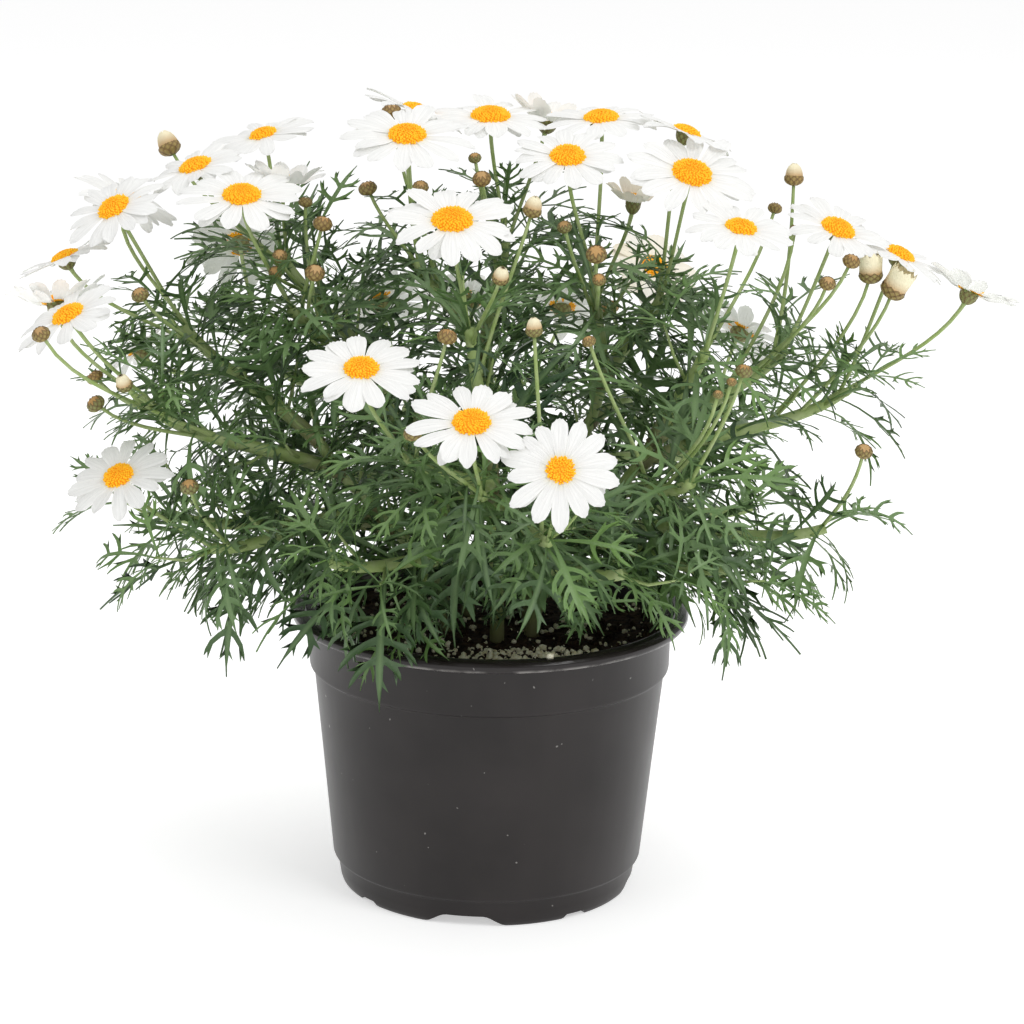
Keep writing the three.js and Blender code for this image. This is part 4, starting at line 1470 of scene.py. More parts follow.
class LeafShapes:
    """The deeply cut blades that the leaves are copies of."""

    COUNT = 8
    BARE = 0.34
    LOBED = 0.72
    HALF_BASE = 0.03
    STEPS = ((0.22, 1.0), (0.55, 0.9), (0.84, 0.62), (1.0, 0.08))

    def __init__(self) -> None:
        """Cuts every blade, with two or three pairs of long lobes."""
        self.shapes = {(k, pairs): self.cut(k, pairs) for k in range(self.COUNT) for pairs in (2, 3)}

    def of(self, identity: int, length: float) -> bpy.types.Mesh:
        """Returns the blade of a numbered leaf."""
        return self.shapes[(identity % self.COUNT, self.pairs(length))]

    @staticmethod
    def pairs(length: float) -> int:
        """Returns how many pairs of lobes a leaf of a length has."""
        return 3 if length > LONG_LEAF else 2

    def tips(self, shape: int, pairs: int) -> list[tuple[int, float, float, float]]:
        """Returns the side of each lobe, where its step ends, and how far ahead and out it reaches.

        Args:
            shape: The number of the blade.
            pairs: How many pairs of lobes it has.

        Returns:
            One row for each lobe, as shares of the length.
        """
        pitch = (self.LOBED - self.BARE) / pairs
        found = []
        for i in range(pairs):
            size = 0.72 if i == pairs - 1 else 1
            for hand in (1, -1):
                ahead = between(0.08, 0.17, shape, 10 + i * 2 + hand)
                out = size * between(0.17, 0.26, shape, 20 + i * 2 + hand)
                found.append((hand, self.BARE + pitch * (i + 1), ahead, out))
        return found

    def cut(self, shape: int, pairs: int) -> bpy.types.Mesh:
        """Cuts one blade, with a length of 1, its rib along X and its face up.

        Args:
            shape: The number of the blade.
            pairs: How many pairs of lobes it has.

        Returns:
            The blade.
        """
        lobes = []
        for order, (hand, end, ahead, out) in enumerate(self.tips(shape, pairs)):
            tip = Vector((end + ahead, hand * out, out * between(0.0, 0.3, shape, 30 + order)))
            teeth = (draw(shape, 50 + order) < 0.8, draw(shape, 60 + order) < 0.6)
            lobes.append(Lobe(hand, end - 0.05, tip, between(0.037, 0.048, shape, 40 + order), teeth))
        shifts = (-self.HALF_BASE, 0, self.HALF_BASE)
        marks = sorted({lobe.root + shift for lobe in lobes for shift in shifts})
        lines = [0.0, 0.14, 0.26, *marks, 0.8, 0.84, 0.93, 1.0]
        bm = strip(2, len(lines) - 1)
        rims: dict[int, list[bmesh.types.BMVert]] = {1: [], -1: []}
        for vert in sorted(bm.verts, key=lambda v: v.co.x):
            share = lines[round(vert.co.x * (len(lines) - 1))]
            hand = round(vert.co.y)
            vert.co = Vector((share, hand * self.half(share), 0.0 if hand else -0.013))
            if hand:
                rims[hand].append(vert)
        for lobe in lobes:
            self.lobe(bm, rims[lobe.hand], lobe)
        for hand in (1, -1):
            if draw(shape, 70 + hand) < 0.75:
                self.tooth(bm, rims[hand][-4], rims[hand][-3], Vector((0.9, hand * 1.0, 0.2)), 0.06)
        lay_grain(bm)
        return shape_of(bm, f"blade_{shape}_{pairs}")

    @staticmethod
    def half(share: float) -> float:
        """Returns half the width of the rib's own strip of blade."""
        return 0.012 + 0.014 * ease((share - 0.1) / 0.38) - 0.024 * ease((share - 0.74) / 0.26)

    def lobe(self, bm: bmesh.types.BMesh, rim: list[bmesh.types.BMVert], lobe: Lobe) -> None:
        """Draws one lobe out of the edge of the rib's strip, folded along its own rib.

        Args:
            bm: The blade.
            rim: The vertices of one edge of the rib's strip.
            lobe: The lobe.
        """
        k = min(range(1, len(rim) - 1), key=lambda i: abs(rim[i].co.x - lobe.root))
        row = rim[k - 1:k + 2]
        base = row[1].co.copy()
        way = lobe.tip - base
        forward = way.normalized()
        across = Vector((forward.y, -forward.x, 0)).normalized() * lobe.hand
        bow = -across * way.length * 0.1
        for step, (share, wide) in enumerate(self.STEPS):
            centre = base + way * share + bow * math.sin(math.pi * share)
            half = lobe.width * wide / 2
            before = row
            sides = [centre - across * half, centre - UP * 0.009, centre + across * half]
            row = self.extend(bm, row, sides)
            if step == 1 and lobe.teeth[0]:
                self.tooth(bm, before[0], row[0], (forward - across * 1.1), lobe.width * 1.5)
            if step == 2 and lobe.teeth[1]:
                self.tooth(bm, before[2], row[2], (forward + across * 1.1), lobe.width * 1.2)

    @staticmethod
    def extend(
        bm: bmesh.types.BMesh, row: list[bmesh.types.BMVert], places: list[Vector]
    ) -> list[bmesh.types.BMVert]:
        """Extrudes the end of a lobe to its next row, and returns that row.

        Args:
            bm: The blade.
            row: The vertices across the end of the lobe.
            places: Where the next row goes.

        Returns:
            The vertices of the next row.
        """
        edges = [bm.edges.get(pair) for pair in zip(row, row[1:])]
        swept = bmesh.ops.extrude_edge_only(bm, edges=edges)["geom"]
        fresh = {part for part in swept if isinstance(part, bmesh.types.BMVert)}
        moved = [next(e.other_vert(v) for e in v.link_edges if e.other_vert(v) in fresh) for v in row]
        for vert, place in zip(moved, places):
            vert.co = place
        return moved

    @staticmethod
    def tooth(
        bm: bmesh.types.BMesh,
        first: bmesh.types.BMVert,
        last: bmesh.types.BMVert,
        way: Vector,
        reach: float,
    ) -> None:
        """Draws a pointed tooth out of one edge of the blade."""
        tip = bm.verts.new(last.co + way.normalized() * reach)
        bm.faces.new((first, last, tip))


@dataclass
class Foliage:
    """The leaves and leafy sprigs of a stem."""

    shapes: LeafShapes
    spacing: float = 6.75
    lengths: tuple[float, float] = (44, 66)
    young: float = 0.1
    youngest: float = 0.8
    tries: int = 6
    try_turn: float = 47.0
    hung_try_turn: float = 31.0
    tip_tuft: tuple[int, tuple[float, float], float] = (7, (30, 50), 0.32)
    sprig_tuft: tuple[int, tuple[float, float], float] = (5, (23, 39), 0.3)
    sprig_lengths: tuple[float, float] = (16, 34)
    sprig_every: int = 3
    denser_left_of: float = -45.0
    sparser_right_of: float = 60.0
    thinned: float = 0.4
    fringe_leaves: int = 8
    fringe_lengths: tuple[float, float] = (24.0, 62.0)
    fringe_below: float = 185.0
    fringe_front_of: float = -8.0
    fringe_left_of: float = 80.0
    open_soil: tuple[float, float, float, float] = (-10, 78, -125, -42)
    open_lip: float = -62.0
    # The middle of the plant, from which the painted shade of the leaves is measured.
    heart: Place = (0, 0, 130)

    def grow(self, axes: list[Axis], leaves: Heap, wood: Heap) -> int:
        """Covers the axes of a stem with leaves and sprigs.

        Args:
            axes: The lines of the stem.
            leaves: Where the leaves go.
            wood: Where the twigs go.

        Returns:
            How many leaves there are.
        """
        count = 0
        for axis in axes:
            for share, identity, turn in self.slots(axis):
                across = axis.line.at(share).x
                if across > self.sparser_right_of and draw(identity, 97) < self.thinned:
                    continue
                youth = (0.75 if axis.is_stalk else 1.12) - 0.3 * share
                length = between(*self.lengths, identity, 3) * youth
                count += self.leaf(leaves, axis.line, share, identity, turn, length, self.young)
                every = self.sprig_every - (across < self.denser_left_of)
                if not axis.is_stalk and identity % every == 1:
                    count += self.sprig(leaves, wood, axis.line, share, identity, turn)
            if axis.kind is Kind.SHOOT:
                count += self.tuft(leaves, axis.line, axis.number * 1000, *self.tip_tuft)
                count += self.fringe(leaves, axis)
        return count

    def fringe(self, heap: Heap, axis: Axis) -> int:
        """Hangs long leaves from the underside of a low shoot at the front, down towards the rim.

        Args:
            heap: Where the leaves go.
            axis: The shoot.

        Returns:
            How many leaves there are.
        """
        made = 0
        shortest, longest = self.fringe_lengths
        for i in range(self.fringe_leaves):
            share = 0.15 + 0.7 * i / self.fringe_leaves
            foot = axis.line.at(share)
            out = math.hypot(foot.x, foot.y)
            at_front = foot.y <= self.fringe_front_of and foot.x <= self.fringe_left_of
            if foot.z > self.fringe_below or not at_front or out > LIP_RADIUS + 8:
                continue
            key = axis.number * 700 + i
            reach = foot.z - (POT_HEIGHT if out < LIP_RADIUS - 8 else 90)
            length = min(longest, reach * between(0.9, 1.25, key, 94))
            if length < shortest:
                continue
            turn = between(150, 210, key, 89)
            made += self.leaf(heap, axis.line, share, key, turn, length, self.young, hanging=True)
        return made

    def slots(self, axis: Axis) -> Iterator[tuple[float, int, float]]:
        """Yields the share, number and turn of each leaf of an axis, spiralling round it.

        Args:
            axis: The line.
        """
        low, high = axis.kind.value
        count = math.floor(axis.line.length * (high - low) / self.spacing)
        for i in range(count):
            share = blend(low, high, (i + 0.5) / count)
            yield share, axis.number * 100 + i, axis.number * 50 + i * SPIRAL

    def leaf(
        self,
        heap: Heap,
        line: Line,
        share: float,
        identity: int,
        turn: float,
        length: float,
        young: float,
        hanging: bool = False,
    ) -> int:
        """Adds one leaf where it is clear of pot, soil and petals.

        Args:
            heap: Where it goes.
            line: What it grows on.
            share: How far along that line.
            identity: Its number, which all its draws use.
            turn: Its turn round the line, in degrees.
            length: Its length.
            young: How yellow its age makes it.
            hanging: True where it hangs from the underside.

        Returns:
            1 if it fits, and 0 if it is left out.
        """
        tips = self.shapes.tips(identity % self.shapes.COUNT, self.shapes.pairs(length))
        foot, tangent = line.at(share), line.heading(share)
        for variant in range(self.tries):
            if hanging:
                seat = hung_leaf(foot, turn + variant * self.hung_try_turn, identity, length)
            else:
                seat = seat_leaf(foot, tangent, turn + variant * self.try_turn, identity, share, length)
            reach = [seat.point(length * s, 0, 0) for s in (0.3, 0.5, 0.75, 1)]
            for hand, end, ahead, out in tips:
                reach.append(seat.point(length * (end + ahead), hand * length * out, 0))
            if not any(in_the_way(point) for point in reach):
                break
        else:
            return 0
        if any(self.over_lip(point) for point in reach):
            return 0
        # The leaf's own tone with its painted shade and light.
        shade = self.shade(foot, identity)
        age = young * between(0.2, 1.6, identity, 91) + 0.25 * ease((draw(identity, 98) - 0.85) * 7)
        age = min(self.youngest, age)

        def tone(point: Vector) -> Place:
            """Lightens the foot and the rib of a leaf."""
            by_foot = 0.6 * max(0.0, 0.22 - point.x)
            return (shade, min(1.0, age + by_foot), 0.6 if abs(point.y) < 0.002 else 0.0)

        heap.add(
            self.shapes.of(identity, length),
            lambda point: seat.point(point.x * length, point.y * length, point.z * length),
            tone,
        )
        return 1

    def shade(self, foot: Vector, identity: int) -> float:
        """Returns how light a leaf is: a tone of its own, with painted shade deep in the plant and at the
        front, and painted light at the right.

        Args:
            foot: Where the leaf grows from.
            identity: Its number.

        Returns:
            A share from 0 to 1.
        """
        depth = (foot - Vector(self.heart)).length
        # Painted shade deep in the plant, over each leaf's own random tone.
        light = draw(identity, 90) * blend(0.3, 1.0, ease((depth - 30) / 110))
        # Painted light at the right, and painted shade at the front.
        light += 0.22 * ease((foot.x - 50) / 60) - 0.06 * ease((-40 - foot.y) / 30)
        return min(max(light, 0.0), 1.0)

    def over_lip(self, point: Vector) -> bool:
        """True for a point low over the front of the pot, where the soil lies open.

        Args:
            point: The point.

        Returns:
            True where no leaf may be.
        """
        left, right, front, back = self.open_soil
        clear = POT_HEIGHT + (12 if point.y < self.open_lip else 3)
        return left < point.x < right and front < point.y < back and point.z < clear

    def tuft(
        self, heap: Heap, line: Line, key: int, count: int, sizes: tuple[float, float], young: float
    ) -> int:
        """Ends a shoot in a tuft of young leaves.

        Args:
            heap: Where the leaves go.
            line: What they grow on.
            key: Numbers their draws.
            count: How many there are.
            sizes: The smallest and largest length.
            young: How yellow their age makes them.

        Returns:
            How many leaves fit.
        """
        made = 0
        for i in range(count):
            share = 1 - 0.03 * i
            length = between(*sizes, key + i, 92)
            made += self.leaf(heap, line, share, key + i, i * SPIRAL + key, length, young)
        return made

    def sprig(
        self, leaves: Heap, wood: Heap, line: Line, share: float, identity: int, turn: float
    ) -> int:
        """Grows a short leafy sprig from the foot of a leaf.

        Args:
            leaves: Where the leaves go.
            wood: Where the twig goes.
            line: What it grows on.
            share: How far along that line.
            identity: The number of the leaf.
            turn: The turn of the leaf, in degrees.

        Returns:
            How many leaves fit.
        """
        length = between(*self.sprig_lengths, identity, 93)
        seat = seat_leaf(line.at(share), line.heading(share), turn + 60, identity + 7, share, length)
        end = seat.foot + (seat.along + UP * 0.35).normalized() * length
        if in_the_way(end) or in_the_way(end + UP * 8):
            return 0
        twig = Line(seat.foot, seat.along, end, (seat.along + UP).normalized())
        tube(wood, twig, [(0, 0.8), (0.5, 0.7), (1, 0.5)], 5, lambda s: 0.0)
        return self.tuft(leaves, twig, identity * 13, *self.sprig_tuft)


@dataclass
class BudMaker:
    """Button buds wrapped in rings of bracts, and the green cups under the blooms."""

    sides: int = 16
    bracts: int = 9
    golds: tuple[float, float] = (0.15, 0.7)
    cup_depth: float = 3.8
    closed_tops: tuple[float, ...] = (0.9, 0.58, 0.1)
    opening_tops: tuple[float, ...] = (0.62, 0.3, -0.15)
    wide_tops: tuple[float, ...] = (0.3, 0.0, -0.35)
    petal_tops: tuple[float, ...] = (0.995, 0.95)
    wide_petal_tops: tuple[float, ...] = (0.95, 0.85)
    cup_tops: tuple[float, ...] = (-0.06, -0.4)
    petal_flare: float = 0.7

    def __post_init__(self) -> None:
        """Makes the shapes that buds and cups are copies of."""
        self.ball = ball_shape("bud_ball", self.sides, 12)
        bm = strip(2, 4)
        lay_grain(bm)
        self.bract = shape_of(bm, "bract")

    def bud(self, heap: Heap, axis: Axis) -> None:
        """Adds the bud at the end of its stalk: a flat-topped ball, or petals standing in it as it opens.

        Args:
            heap: Where it goes.
            axis: Its stalk.
        """
        assert axis.bud is not None
        size = between(BUD_SMALL, BUD_LARGE, axis.number, 3) * axis.scale
        opening = axis.bud in CREAM_BUDS
        wide = axis.bud in WIDE_BUDS
        facing = Vector(WIDE_BUDS[axis.bud]).normalized() if wide else axis.line.heading(0.98)
        turn = UP.rotation_difference(facing)
        centre = Vector(axis.bud)

        def place(point: Vector) -> Vector:
            """Shapes the ball, flat on top, or drawn out where it is opening.

            Args:
                point: A point of the shape.

            Returns:
                Its place on the plant.
            """
            height = point.z * 0.82
            if opening and point.z > 0:
                height = point.z * (0.7 if wide else 1.45)
            elif point.z > 0:
                height = (point.z - 0.25 * point.z**3) * 0.95
            return centre + turn @ (Vector((point.x, point.y, height)) * size * 0.92)

        def tone(point: Vector) -> Place:
            """Shows tan or cream petals above the bracts."""
            return (ease((point.z + 0.2) / 0.4), 0.6 if opening else 0.12 * draw(axis.number, 95), 0.0)

        heap.add(self.ball, place, tone)
        flat = turn.to_matrix() @ Matrix.Diagonal((1, 1, 0.84))
        tops = self.closed_tops
        if opening:
            tops = self.wide_tops if wide else self.opening_tops
        gold = between(*self.golds, axis.number, 101)
        for ring, top in enumerate(tops):
            swell = 1.0 + 0.035 * ring
            self.wrap(heap, centre, flat, size, top, swell, 0.5 * ring, axis.number, gold=gold)
        if opening:
            tall = turn.to_matrix() @ Matrix.Diagonal((0.96, 0.96, 2.1 if wide else 1.65))
            flare = self.petal_flare * wide
            for ring, top in enumerate(self.wide_petal_tops if wide else self.petal_tops):
                key, swell = axis.number + ring * 40, 0.96 - 0.05 * ring
                self.wrap(heap, centre, tall, size, top, swell, 0.5 * ring, key, True, flare)

    def cup(self, heap: Heap, axis: Axis) -> None:
        """Adds the green cup under a bloom, with its two rings of bracts.

        Args:
            heap: Where it goes.
            axis: The stalk of the bloom.
        """
        assert axis.bloom is not None
        flower = axis.bloom
        size = flower.disc * CUP_SHARE * 0.76
        turn = UP.rotation_difference(flower.aim)
        centre = Vector(flower.place)
        depth = self.cup_depth + flower.hub_depth

        def place(point: Vector) -> Vector:
            """Shapes the lower half of a ball as a shallow cup."""
            height = min(point.z, 0.0) * depth - 0.1
            return centre + turn @ Vector((point.x * size, point.y * size, height))

        heap.add(self.ball, place, lambda point: (0.0, 0.0, 0.1))
        flat = turn.to_matrix() @ Matrix.Diagonal((1, 1, depth / size))
        for ring, top in enumerate(self.cup_tops):
            middle, swell = centre - flower.aim * 0.3, 1.04 + 0.03 * ring
            self.wrap(heap, middle, flat, size, top, swell, 0.5 * ring, axis.number)

    def wrap(
        self,
        heap: Heap,
        centre: Vector,
        turn: Matrix,
        size: float,
        top: float,
        swell: float,
        shift: float,
        key: int,
        creamy: bool = False,
        flare: float = 0.0,
        gold: float = 0.15,
    ) -> None:
        """Wraps one ring of pointed bracts or petals round a ball or cup.

        Args:
            heap: Where the bracts go.
            centre: The middle of the ball.
            turn: What turns and flattens the ball.
            size: Its radius.
            top: The height of the bracts' tips, as a share of the radius.
            swell: How far out the ring lies, as a share of the radius.
            shift: How far the ring is turned, in bracts.
            key: Numbers the draws.
            creamy: True for the petals of an opening bud, tan below and cream above.
            flare: How far the tops stand out.
            gold: How golden the bracts are.
        """
        for i in range(self.bracts):
            bearing = 2 * math.pi * (i + shift + 0.25 * draw(key + i, 96)) / self.bracts

            def place(point: Vector) -> Vector:
                """Lays a bract up the side of the ball.

                Args:
                    point: A point of the flat bract.

                Returns:
                    Its place on the plant.
                """
                tip = top * (1 - (0.12 if flare or not creamy else 0.03) * draw(key + i, 99))
                height = blend(0.02 if creamy else -0.94, tip, point.x)
                wide = 0.46 * math.sqrt(max(0.0, 1 - point.x**3)) + 0.02
                angle = bearing + point.y * wide
                belly = (0.06 if creamy else 0.03) * (1 - point.y * point.y)
                out = math.sqrt(max(0.02, 1 - height * height)) * (swell + belly)
                out += flare * max(0.0, height) ** 2
                return centre + turn @ (Vector((math.cos(angle) * out, math.sin(angle) * out, height)) * size)

            def tone(point: Vector) -> Place:
                """Browns the edges of a bract, or creams the upper part of a petal.

                Args:
                    point: A point of the flat bract.

                Returns:
                    How much of the petals shows, how cream they are and how brown the edge is.
                """
                if creamy:
                    return (1.0, ease((point.x + 0.1) / (0.6 if flare else 1.0)), 0.0)
                return (gold, 0.0, max(0.8 * point.y**4, 0.75 * ease((point.x - 0.78) / 0.22)))

            heap.add(self.bract, place, tone)


@dataclass
class LeafyStem:
    """One leafy stem of the plant, with its shoots, stalks, leaves and buds."""

    plan: Stem
    axes: list[Axis]
    foliage: Foliage
    bud_maker: BudMaker
    skins: dict[str, bpy.types.Material]
    main_radii: tuple[float, float] = (3.1, 2.2)
    shoot_radii: tuple[float, float] = (1.7, 1.05)
    bud_stalk_radii: tuple[float, float] = (0.9, 0.7)
    bloom_stalk_radius: float = 0.86
    peg_depth: float = 18.0

    def build(self) -> None:
        """Builds the wood, leaves and buds as three pieces."""
        wood, leaves, buds = Heap(), Heap(), Heap()
        for axis in self.axes:
            self.sweep(wood, axis)
            if axis.bud is not None:
                self.bud_maker.bud(buds, axis)
            if axis.bloom is not None:
                self.bud_maker.cup(buds, axis)
        count = self.foliage.grow(self.axes, leaves, wood)
        log.info("%s has %d leaves", self.plan.name, count)
        node = self.plan.name
        wood.piece(f"{node}_wood", self.skins["stem"], "green", node)
        leaves.piece(f"{node}_leaves", self.skins["leaf"], "green", node)
        buds.piece(f"{node}_buds", self.skins["bud"], "green", node)

    def sweep(self, wood: Heap, axis: Axis) -> None:
        """Sweeps one axis, from the soil up for the main stem.

        Args:
            wood: Where it goes.
            axis: The line.
        """
        line = axis.line
        if axis.kind is Kind.MAIN:
            root = Vector((*self.plan.root, MAIN_START))
            peg = Line(root - UP * self.peg_depth, UP, root, UP)
            tube(wood, peg, [(0, 3.0), (0.8, 3.2), (1, 3.1)], 10, lambda s: 0.9)
            rings = self.rings(18, *self.main_radii)
            tube(wood, line, rings, 10, lambda s: max(0.0, 0.9 - 3.2 * s))
        elif axis.kind is Kind.SHOOT:
            tube(wood, line, self.rings(12, *self.shoot_radii), 8, lambda s: 0.0)
        elif axis.bloom is not None:
            thin = self.bloom_stalk_radius
            rings = [(i / 12, thin - 0.08 * math.sin(math.pi * i / 12)) for i in range(12)]
            rings += [(1 - 4.0 / line.length, 0.95), (1 - 2.4 / line.length, 1.5)]
            tube(wood, line, sorted(rings), 8, lambda s: 0.0)
        else:
            reach = 1 - 1.5 * BUD_SMALL / line.length
            tube(wood, line, self.rings(9, *self.bud_stalk_radii, reach), 7, lambda s: 0.0)

    @staticmethod
    def rings(count: int, start: float, end: float, reach: float = 1.0) -> list[tuple[float, float]]:
        """Returns even rings along a line up to a reach, each a share of it and a radius."""
        return [(reach * i / count, blend(start, end, i / count)) for i in range(count + 1)]


# Blooms.


@dataclass
class PetalMaker:
    """Petals, each an arched oblong blade with two grooves and a blunt toothed tip."""

    columns: int = 6
    rows: int = 8
    notch: float = 0.4
    sag: float = 20.0
    widest: float = 0.64
    under: int = 4
    under_size: float = 0.82
    under_drop: float = 5.0
    lengths: tuple[float, float] = (0.96, 1.07)
    widths: tuple[float, float] = (0.84, 1.12)
    sags: tuple[float, float] = (0.5, 1.7)
    cups: tuple[float, float] = (-0.9, 1.3)
    curls: tuple[float, float] = (-1.2, 0.9)
    twists: tuple[float, float] = (-0.22, 0.22)
    drifts: tuple[float, float] = (-0.07, 0.07)

    def __post_init__(self) -> None:
        """Makes the flat petal that the petals are copies of."""
        bm = strip(self.columns, self.rows)
        lay_grain(bm)
        self.flat = shape_of(bm, "petal")

    def add(self, heap: Heap, flower: Bloom, number: int) -> None:
        """Adds the petals of a bloom, and a few narrower ones under them.

        Args:
            heap: Where they go.
            flower: The bloom.
            number: Its number.
        """
        start = draw(number, 6)
        for i in range(flower.petals):
            key = number * 20 + i
            turn = i + between(-0.12, 0.12, key, 5) + start
            self.petal(heap, flower, key, turn, 0.35 if i % 2 else 0.0, 1.0)
        for i in range(self.under):
            key = number * 20 + i + 5000
            turn = (i + between(0.1, 0.9, key, 5)) * flower.petals / self.under
            self.petal(heap, flower, key, turn, -0.5, self.under_size)

    def width(self, share: float) -> float:
        """Returns the width of a petal at a share of its length, as a share of its widest.

        Args:
            share: The share of the length.

        Returns:
            The width, from 0 to 1.
        """
        if share < self.widest:
            return blend(0.46, 1, ease(share / self.widest))
        return math.sqrt(1 - ((share - self.widest) / (1 - self.widest)) ** 2.6 * 0.66)

    def petal(self, heap: Heap, flower: Bloom, key: int, turn: float, layer: float, full: float) -> None:
        """Adds one petal.

        Args:
            heap: Where it goes.
            flower: The bloom that it belongs to.
            key: Numbers its draws.
            turn: Its place round the bloom, counted in petals.
            layer: How far it stands above the hub.
            full: How wide and long it is beside the others.
        """
        seat = flower.seat()
        radius = flower.width / 2
        angle = 2 * math.pi * turn / flower.petals
        whole = radius * between(*self.lengths, key, 7)
        whole *= (1 - 0.12 * draw(key, 18) ** 2) * blend(1, full, 0.4)
        length = whole - self.notch * radius
        drop = self.under_drop if layer < 0 else 0.0
        lift = math.radians(flower.lift + between(-5, 5, key, 8) + between(-4, 4, key, 19) - drop)
        sag = self.sag * between(*self.sags, key, 20)
        half = radius * 2.0 / flower.petals * between(*self.widths, key, 12) * full
        cup = between(*self.cups, key, 13)
        curl = between(*self.curls, key, 14)
        twist = between(*self.twists, key, 21)
        drift = between(*self.drifts, key, 22)
        foot = flower.disc * 0.3

        def place(point: Vector) -> Vector:
            """Bends one point of the flat petal into place.

            Args:
                point: A point of the flat petal.

            Returns:
                Its place on the plant.
            """
            share, side = point.x, point.y
            wide = self.width(share)
            teeth = 0.02 * math.sin(1.5 * math.pi * side) ** 2 + 0.075 * side * side
            distance = foot + (whole - foot) * share * (1 - teeth * share**6)
            run = max(0.0, distance - self.notch * radius)
            bend = -math.radians(sag) / length
            out = min(distance, self.notch * radius) + (math.sin(lift + bend * run) - math.sin(lift)) / bend
            rise = (math.cos(lift) - math.cos(lift + bend * run)) / bend
            across = side * half * wide + drift * run * share
            groove = 0.16 * math.cos(3 * math.pi * side) * ease(share * 3)
            height = rise + groove + layer * (1 - share) + curl * share**3 + 0.12
            height += cup * side * side * wide * share + twist * side * half * wide * share
            x, y = math.cos(angle), math.sin(angle)
            return seat(Vector((x * out - y * across, y * out + x * across, height)))

        def tone(point: Vector) -> Place:
            """Greens the foot and creams the fading petals."""
            return (0.0, flower.fade * between(0.5, 1.3, key, 15), 0.6 * max(0.0, 1 - point.x / 0.25))

        heap.add(self.flat, place, tone)


@dataclass
class DiscMaker:
    """Discs of packed florets over a low dome."""

    pitch: float = 0.86
    shrink: float = 0.96
    dome: float = 0.25
    spiral: float = 137.508
    sizes: tuple[float, float] = (0.42, 0.52)
    uneven: tuple[float, float] = (0.85, 1.15)
    heights: tuple[float, float] = (1.3, 2.6)

    def __post_init__(self) -> None:
        """Makes the floret and the dome under it."""
        self.floret = lump_shape()
        self.core = ball_shape("disc_core", 20, 10)

    def height(self, share: float, rise: float) -> float:
        """Returns the height of the dome at a share of its radius."""
        return rise * (1 - share**2.6) ** 0.8

    def build(self, flower: Bloom, number: int, skin: bpy.types.Material) -> None:
        """Builds the disc of one bloom.

        Args:
            flower: The bloom.
            number: Its number.
            skin: The finish of the florets.
        """
        heap = Heap()
        seat = flower.seat()
        radius, rise = flower.disc / 2 * self.shrink, flower.disc * self.dome
        count = int(math.pi * radius * radius / (self.pitch * self.pitch))

        def core(point: Vector) -> Vector:
            """Shapes the dome that the florets stand on.

            Args:
                point: A point of the ball.

            Returns:
                Its place on the plant.
            """
            share = min(1.0, math.hypot(point.x, point.y))
            height = self.height(share, rise) - 0.5 if point.z > 0 else 0.1
            return seat(Vector((point.x * radius * 0.95, point.y * radius * 0.95, height)))

        # The dome between the florets takes mostly the darker colour: painted shade.
        heap.add(self.core, core, lambda point: (0.5, 0.15, 0.0))
        for i in range(count):
            key = number * 400 + i
            share = math.sqrt((i + 0.5) / count)
            stray = between(-0.5, 0.5, key, 25) * self.pitch / max(radius * share, 1)
            turn = i * math.radians(self.spiral) + stray
            out = radius * share * 0.97
            size = blend(*self.sizes, ease((share - 0.35) / 0.4)) * between(*self.uneven, key, 16)
            tall = size * blend(1.1, between(*self.heights, key, 24), ease((share - 0.55) / 0.35))
            lean = Vector((math.cos(turn), math.sin(turn), 0)) * max(0.0, share - 0.55) * 1.5 + UP
            stand = UP.rotation_difference(lean.normalized())
            base = Vector((math.cos(turn) * out, math.sin(turn) * out, self.height(share, rise) - 0.25))
            base.z = max(base.z, 0.45)
            shade = ease((0.75 - share) / 0.6) * between(0.5, 1, i, 17)

            def place(point: Vector) -> Vector:
                """Sets one floret on the dome."""
                return seat(base + stand @ Vector((point.x * size, point.y * size, point.z * tall)))

            # The feet of the florets are darker: painted shade.
            heap.add(self.floret, place, lambda point: (shade, 0.5 + 0.5 * ease(point.z + 0.6), 0.0))
        heap.piece(f"florets_{number:02d}", skin, "disc_yellow", f"disc_{number:02d}")


@dataclass
class Blooms:
    """Every bloom of the plant: petals by cluster, as in the frame, and a disc each."""

    petal_maker: PetalMaker = field(default_factory=PetalMaker)
    disc_maker: DiscMaker = field(default_factory=DiscMaker)

    def build(self) -> None:
        """Builds the petals of each cluster and the disc of each bloom."""
        petal_skin, floret_skin = PetalSkin().make(), FloretSkin().make()
        for node in sorted(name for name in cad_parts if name.startswith("rays_")):
            numbers = [int(part) for part in node.split("_")[1:]]
            heap = Heap()
            for number in numbers:
                self.petal_maker.add(heap, BLOOMS[number - 1], number)
            heap.piece(node.replace("rays", "petals"), petal_skin, "petal_white", node)
        for number, flower in enumerate(BLOOMS, 1):
            self.disc_maker.build(flower, number, floret_skin)


# Studio.


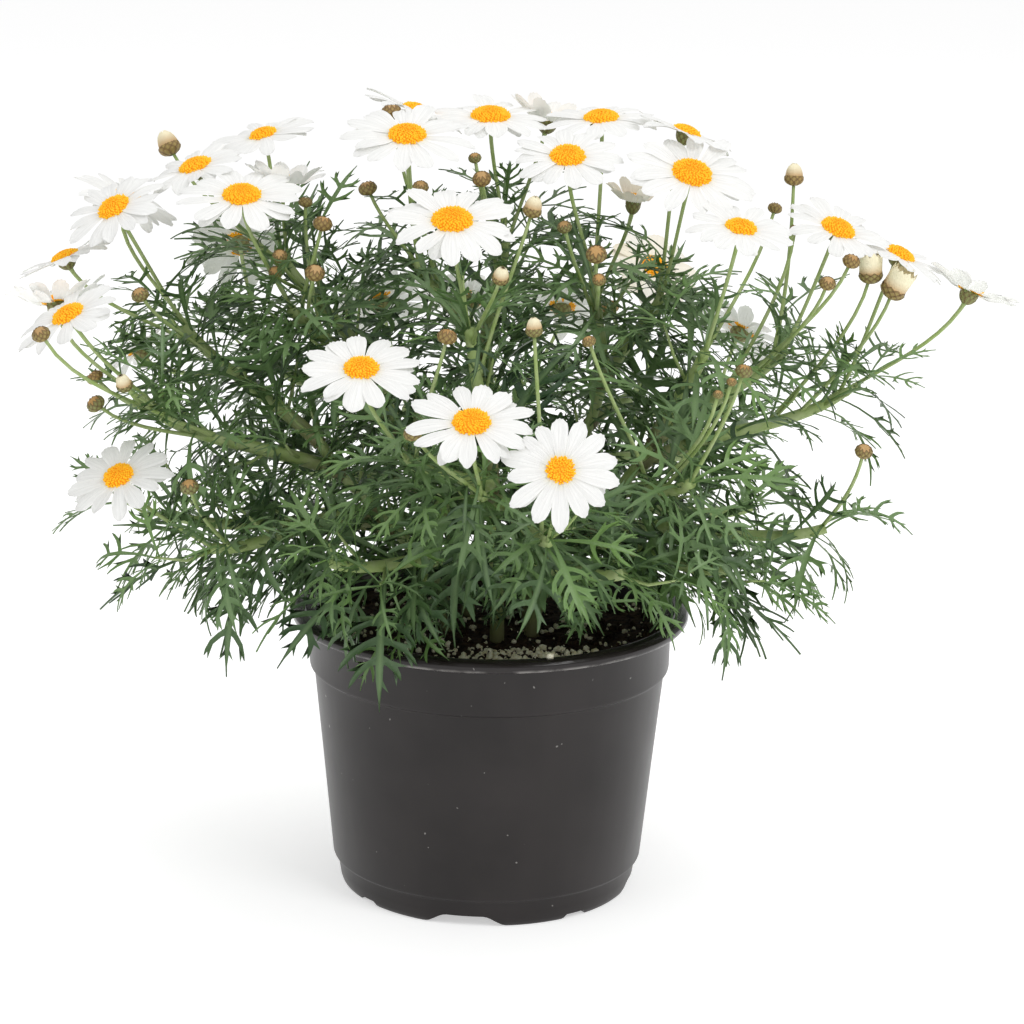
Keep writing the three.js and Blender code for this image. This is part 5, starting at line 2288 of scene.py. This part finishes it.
@dataclass
class Studio:
    """The pale floor, the soft lights and the camera."""

    distance: float = 1.397
    height: float = 0.535
    pitch: float = 0.263
    yaw: float = 0.006
    roll: float = 0.017
    focal_px: float = 3505.0
    frame_px: float = 1024.0
    sensor: float = 36.0
    sky: float = 0.56
    target: Place = (0, 0, 0.18)
    lamps: tuple[tuple[str, Place, float, float], ...] = (
        ("key", (1.1, -1.2, 1.6), 0.9, 15),
        ("fill", (-1.4, -1.0, 1.2), 1.2, 5),
        ("overhead", (0.1, 0.35, 1.9), 1.4, 9),
    )

    def build(self) -> None:
        """Sets up the floor, the lights, the sky and the camera."""
        self.floor()
        for lamp in self.lamps:
            self.light(*lamp)
        world = bpy.data.worlds.new("sky")
        world.use_nodes = True
        background = world.node_tree.nodes["Background"]
        background.inputs["Color"].default_value = (1, 1, 1, 1)
        background.inputs["Strength"].default_value = self.sky
        bpy.context.scene.world = world
        bpy.context.scene.view_settings.view_transform = "Standard"
        self.camera()

    def floor(self) -> None:
        """Lays the floor."""
        bm = bmesh.new()
        bmesh.ops.create_grid(bm, x_segments=8, y_segments=8, size=8)
        mesh = shape_of(bm, "studio_floor")
        mesh.materials.append(StudioPaper().make())
        placed("studio_floor", mesh)

    def light(self, name: str, place: Place, size: float, power: float) -> None:
        """Hangs a soft square light that points at the plant.

        Args:
            name: Its name.
            place: Where it hangs, in metres.
            size: Its width.
            power: Its power, in watts.
        """
        lamp = bpy.data.lights.new(name, "AREA")
        lamp.shape, lamp.size, lamp.energy = "SQUARE", size, power
        stand = placed(name, lamp)
        stand.location = place
        stand.rotation_mode = "QUATERNION"
        stand.rotation_quaternion = (Vector(self.target) - Vector(place)).to_track_quat("-Z", "Y")

    def camera(self) -> None:
        """Sets the camera where the photograph was taken from."""
        way = Vector((
            math.sin(self.yaw) * math.cos(self.pitch),
            math.cos(self.yaw) * math.cos(self.pitch),
            -math.sin(self.pitch),
        ))
        level = Vector((math.cos(self.yaw), -math.sin(self.yaw), 0))
        above = level.cross(way)
        right = level * math.cos(self.roll) + above * math.sin(self.roll)
        top = above * math.cos(self.roll) - level * math.sin(self.roll)
        lens = bpy.data.cameras.new("camera")
        lens.sensor_width = self.sensor
        lens.lens = self.focal_px * self.sensor / self.frame_px
        lens.clip_start, lens.clip_end = 0.05, 50
        camera = placed("camera", lens)
        seat = Matrix((right, top, -way)).transposed().to_4x4()
        seat.translation = Vector((0, -self.distance, self.height))
        camera.matrix_world = seat
        bpy.context.scene.camera = camera


def main() -> None:
    """Builds the studio, the pot, the soil and the plant, in that order."""
    logging.basicConfig(level=logging.INFO, format="%(name)s: %(message)s")
    Studio().build()
    NurseryPot().build()
    SoilBed().build()
    Blooms().build()
    skins = {"stem": StemSkin().make(), "leaf": LeafSkin().make(), "bud": BudSkin().make()}
    foliage, bud_maker = Foliage(LeafShapes()), BudMaker()
    first = 0
    for stem in STEMS:
        axes = lay_out(stem, first)
        first += sum(1 + len(shoot.blooms) + len(shoot.buds) for shoot in stem.shoots) + 1
        LeafyStem(stem, axes, foliage, bud_maker, skins).build()
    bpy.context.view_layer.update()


if __name__ == "__main__":
    main()
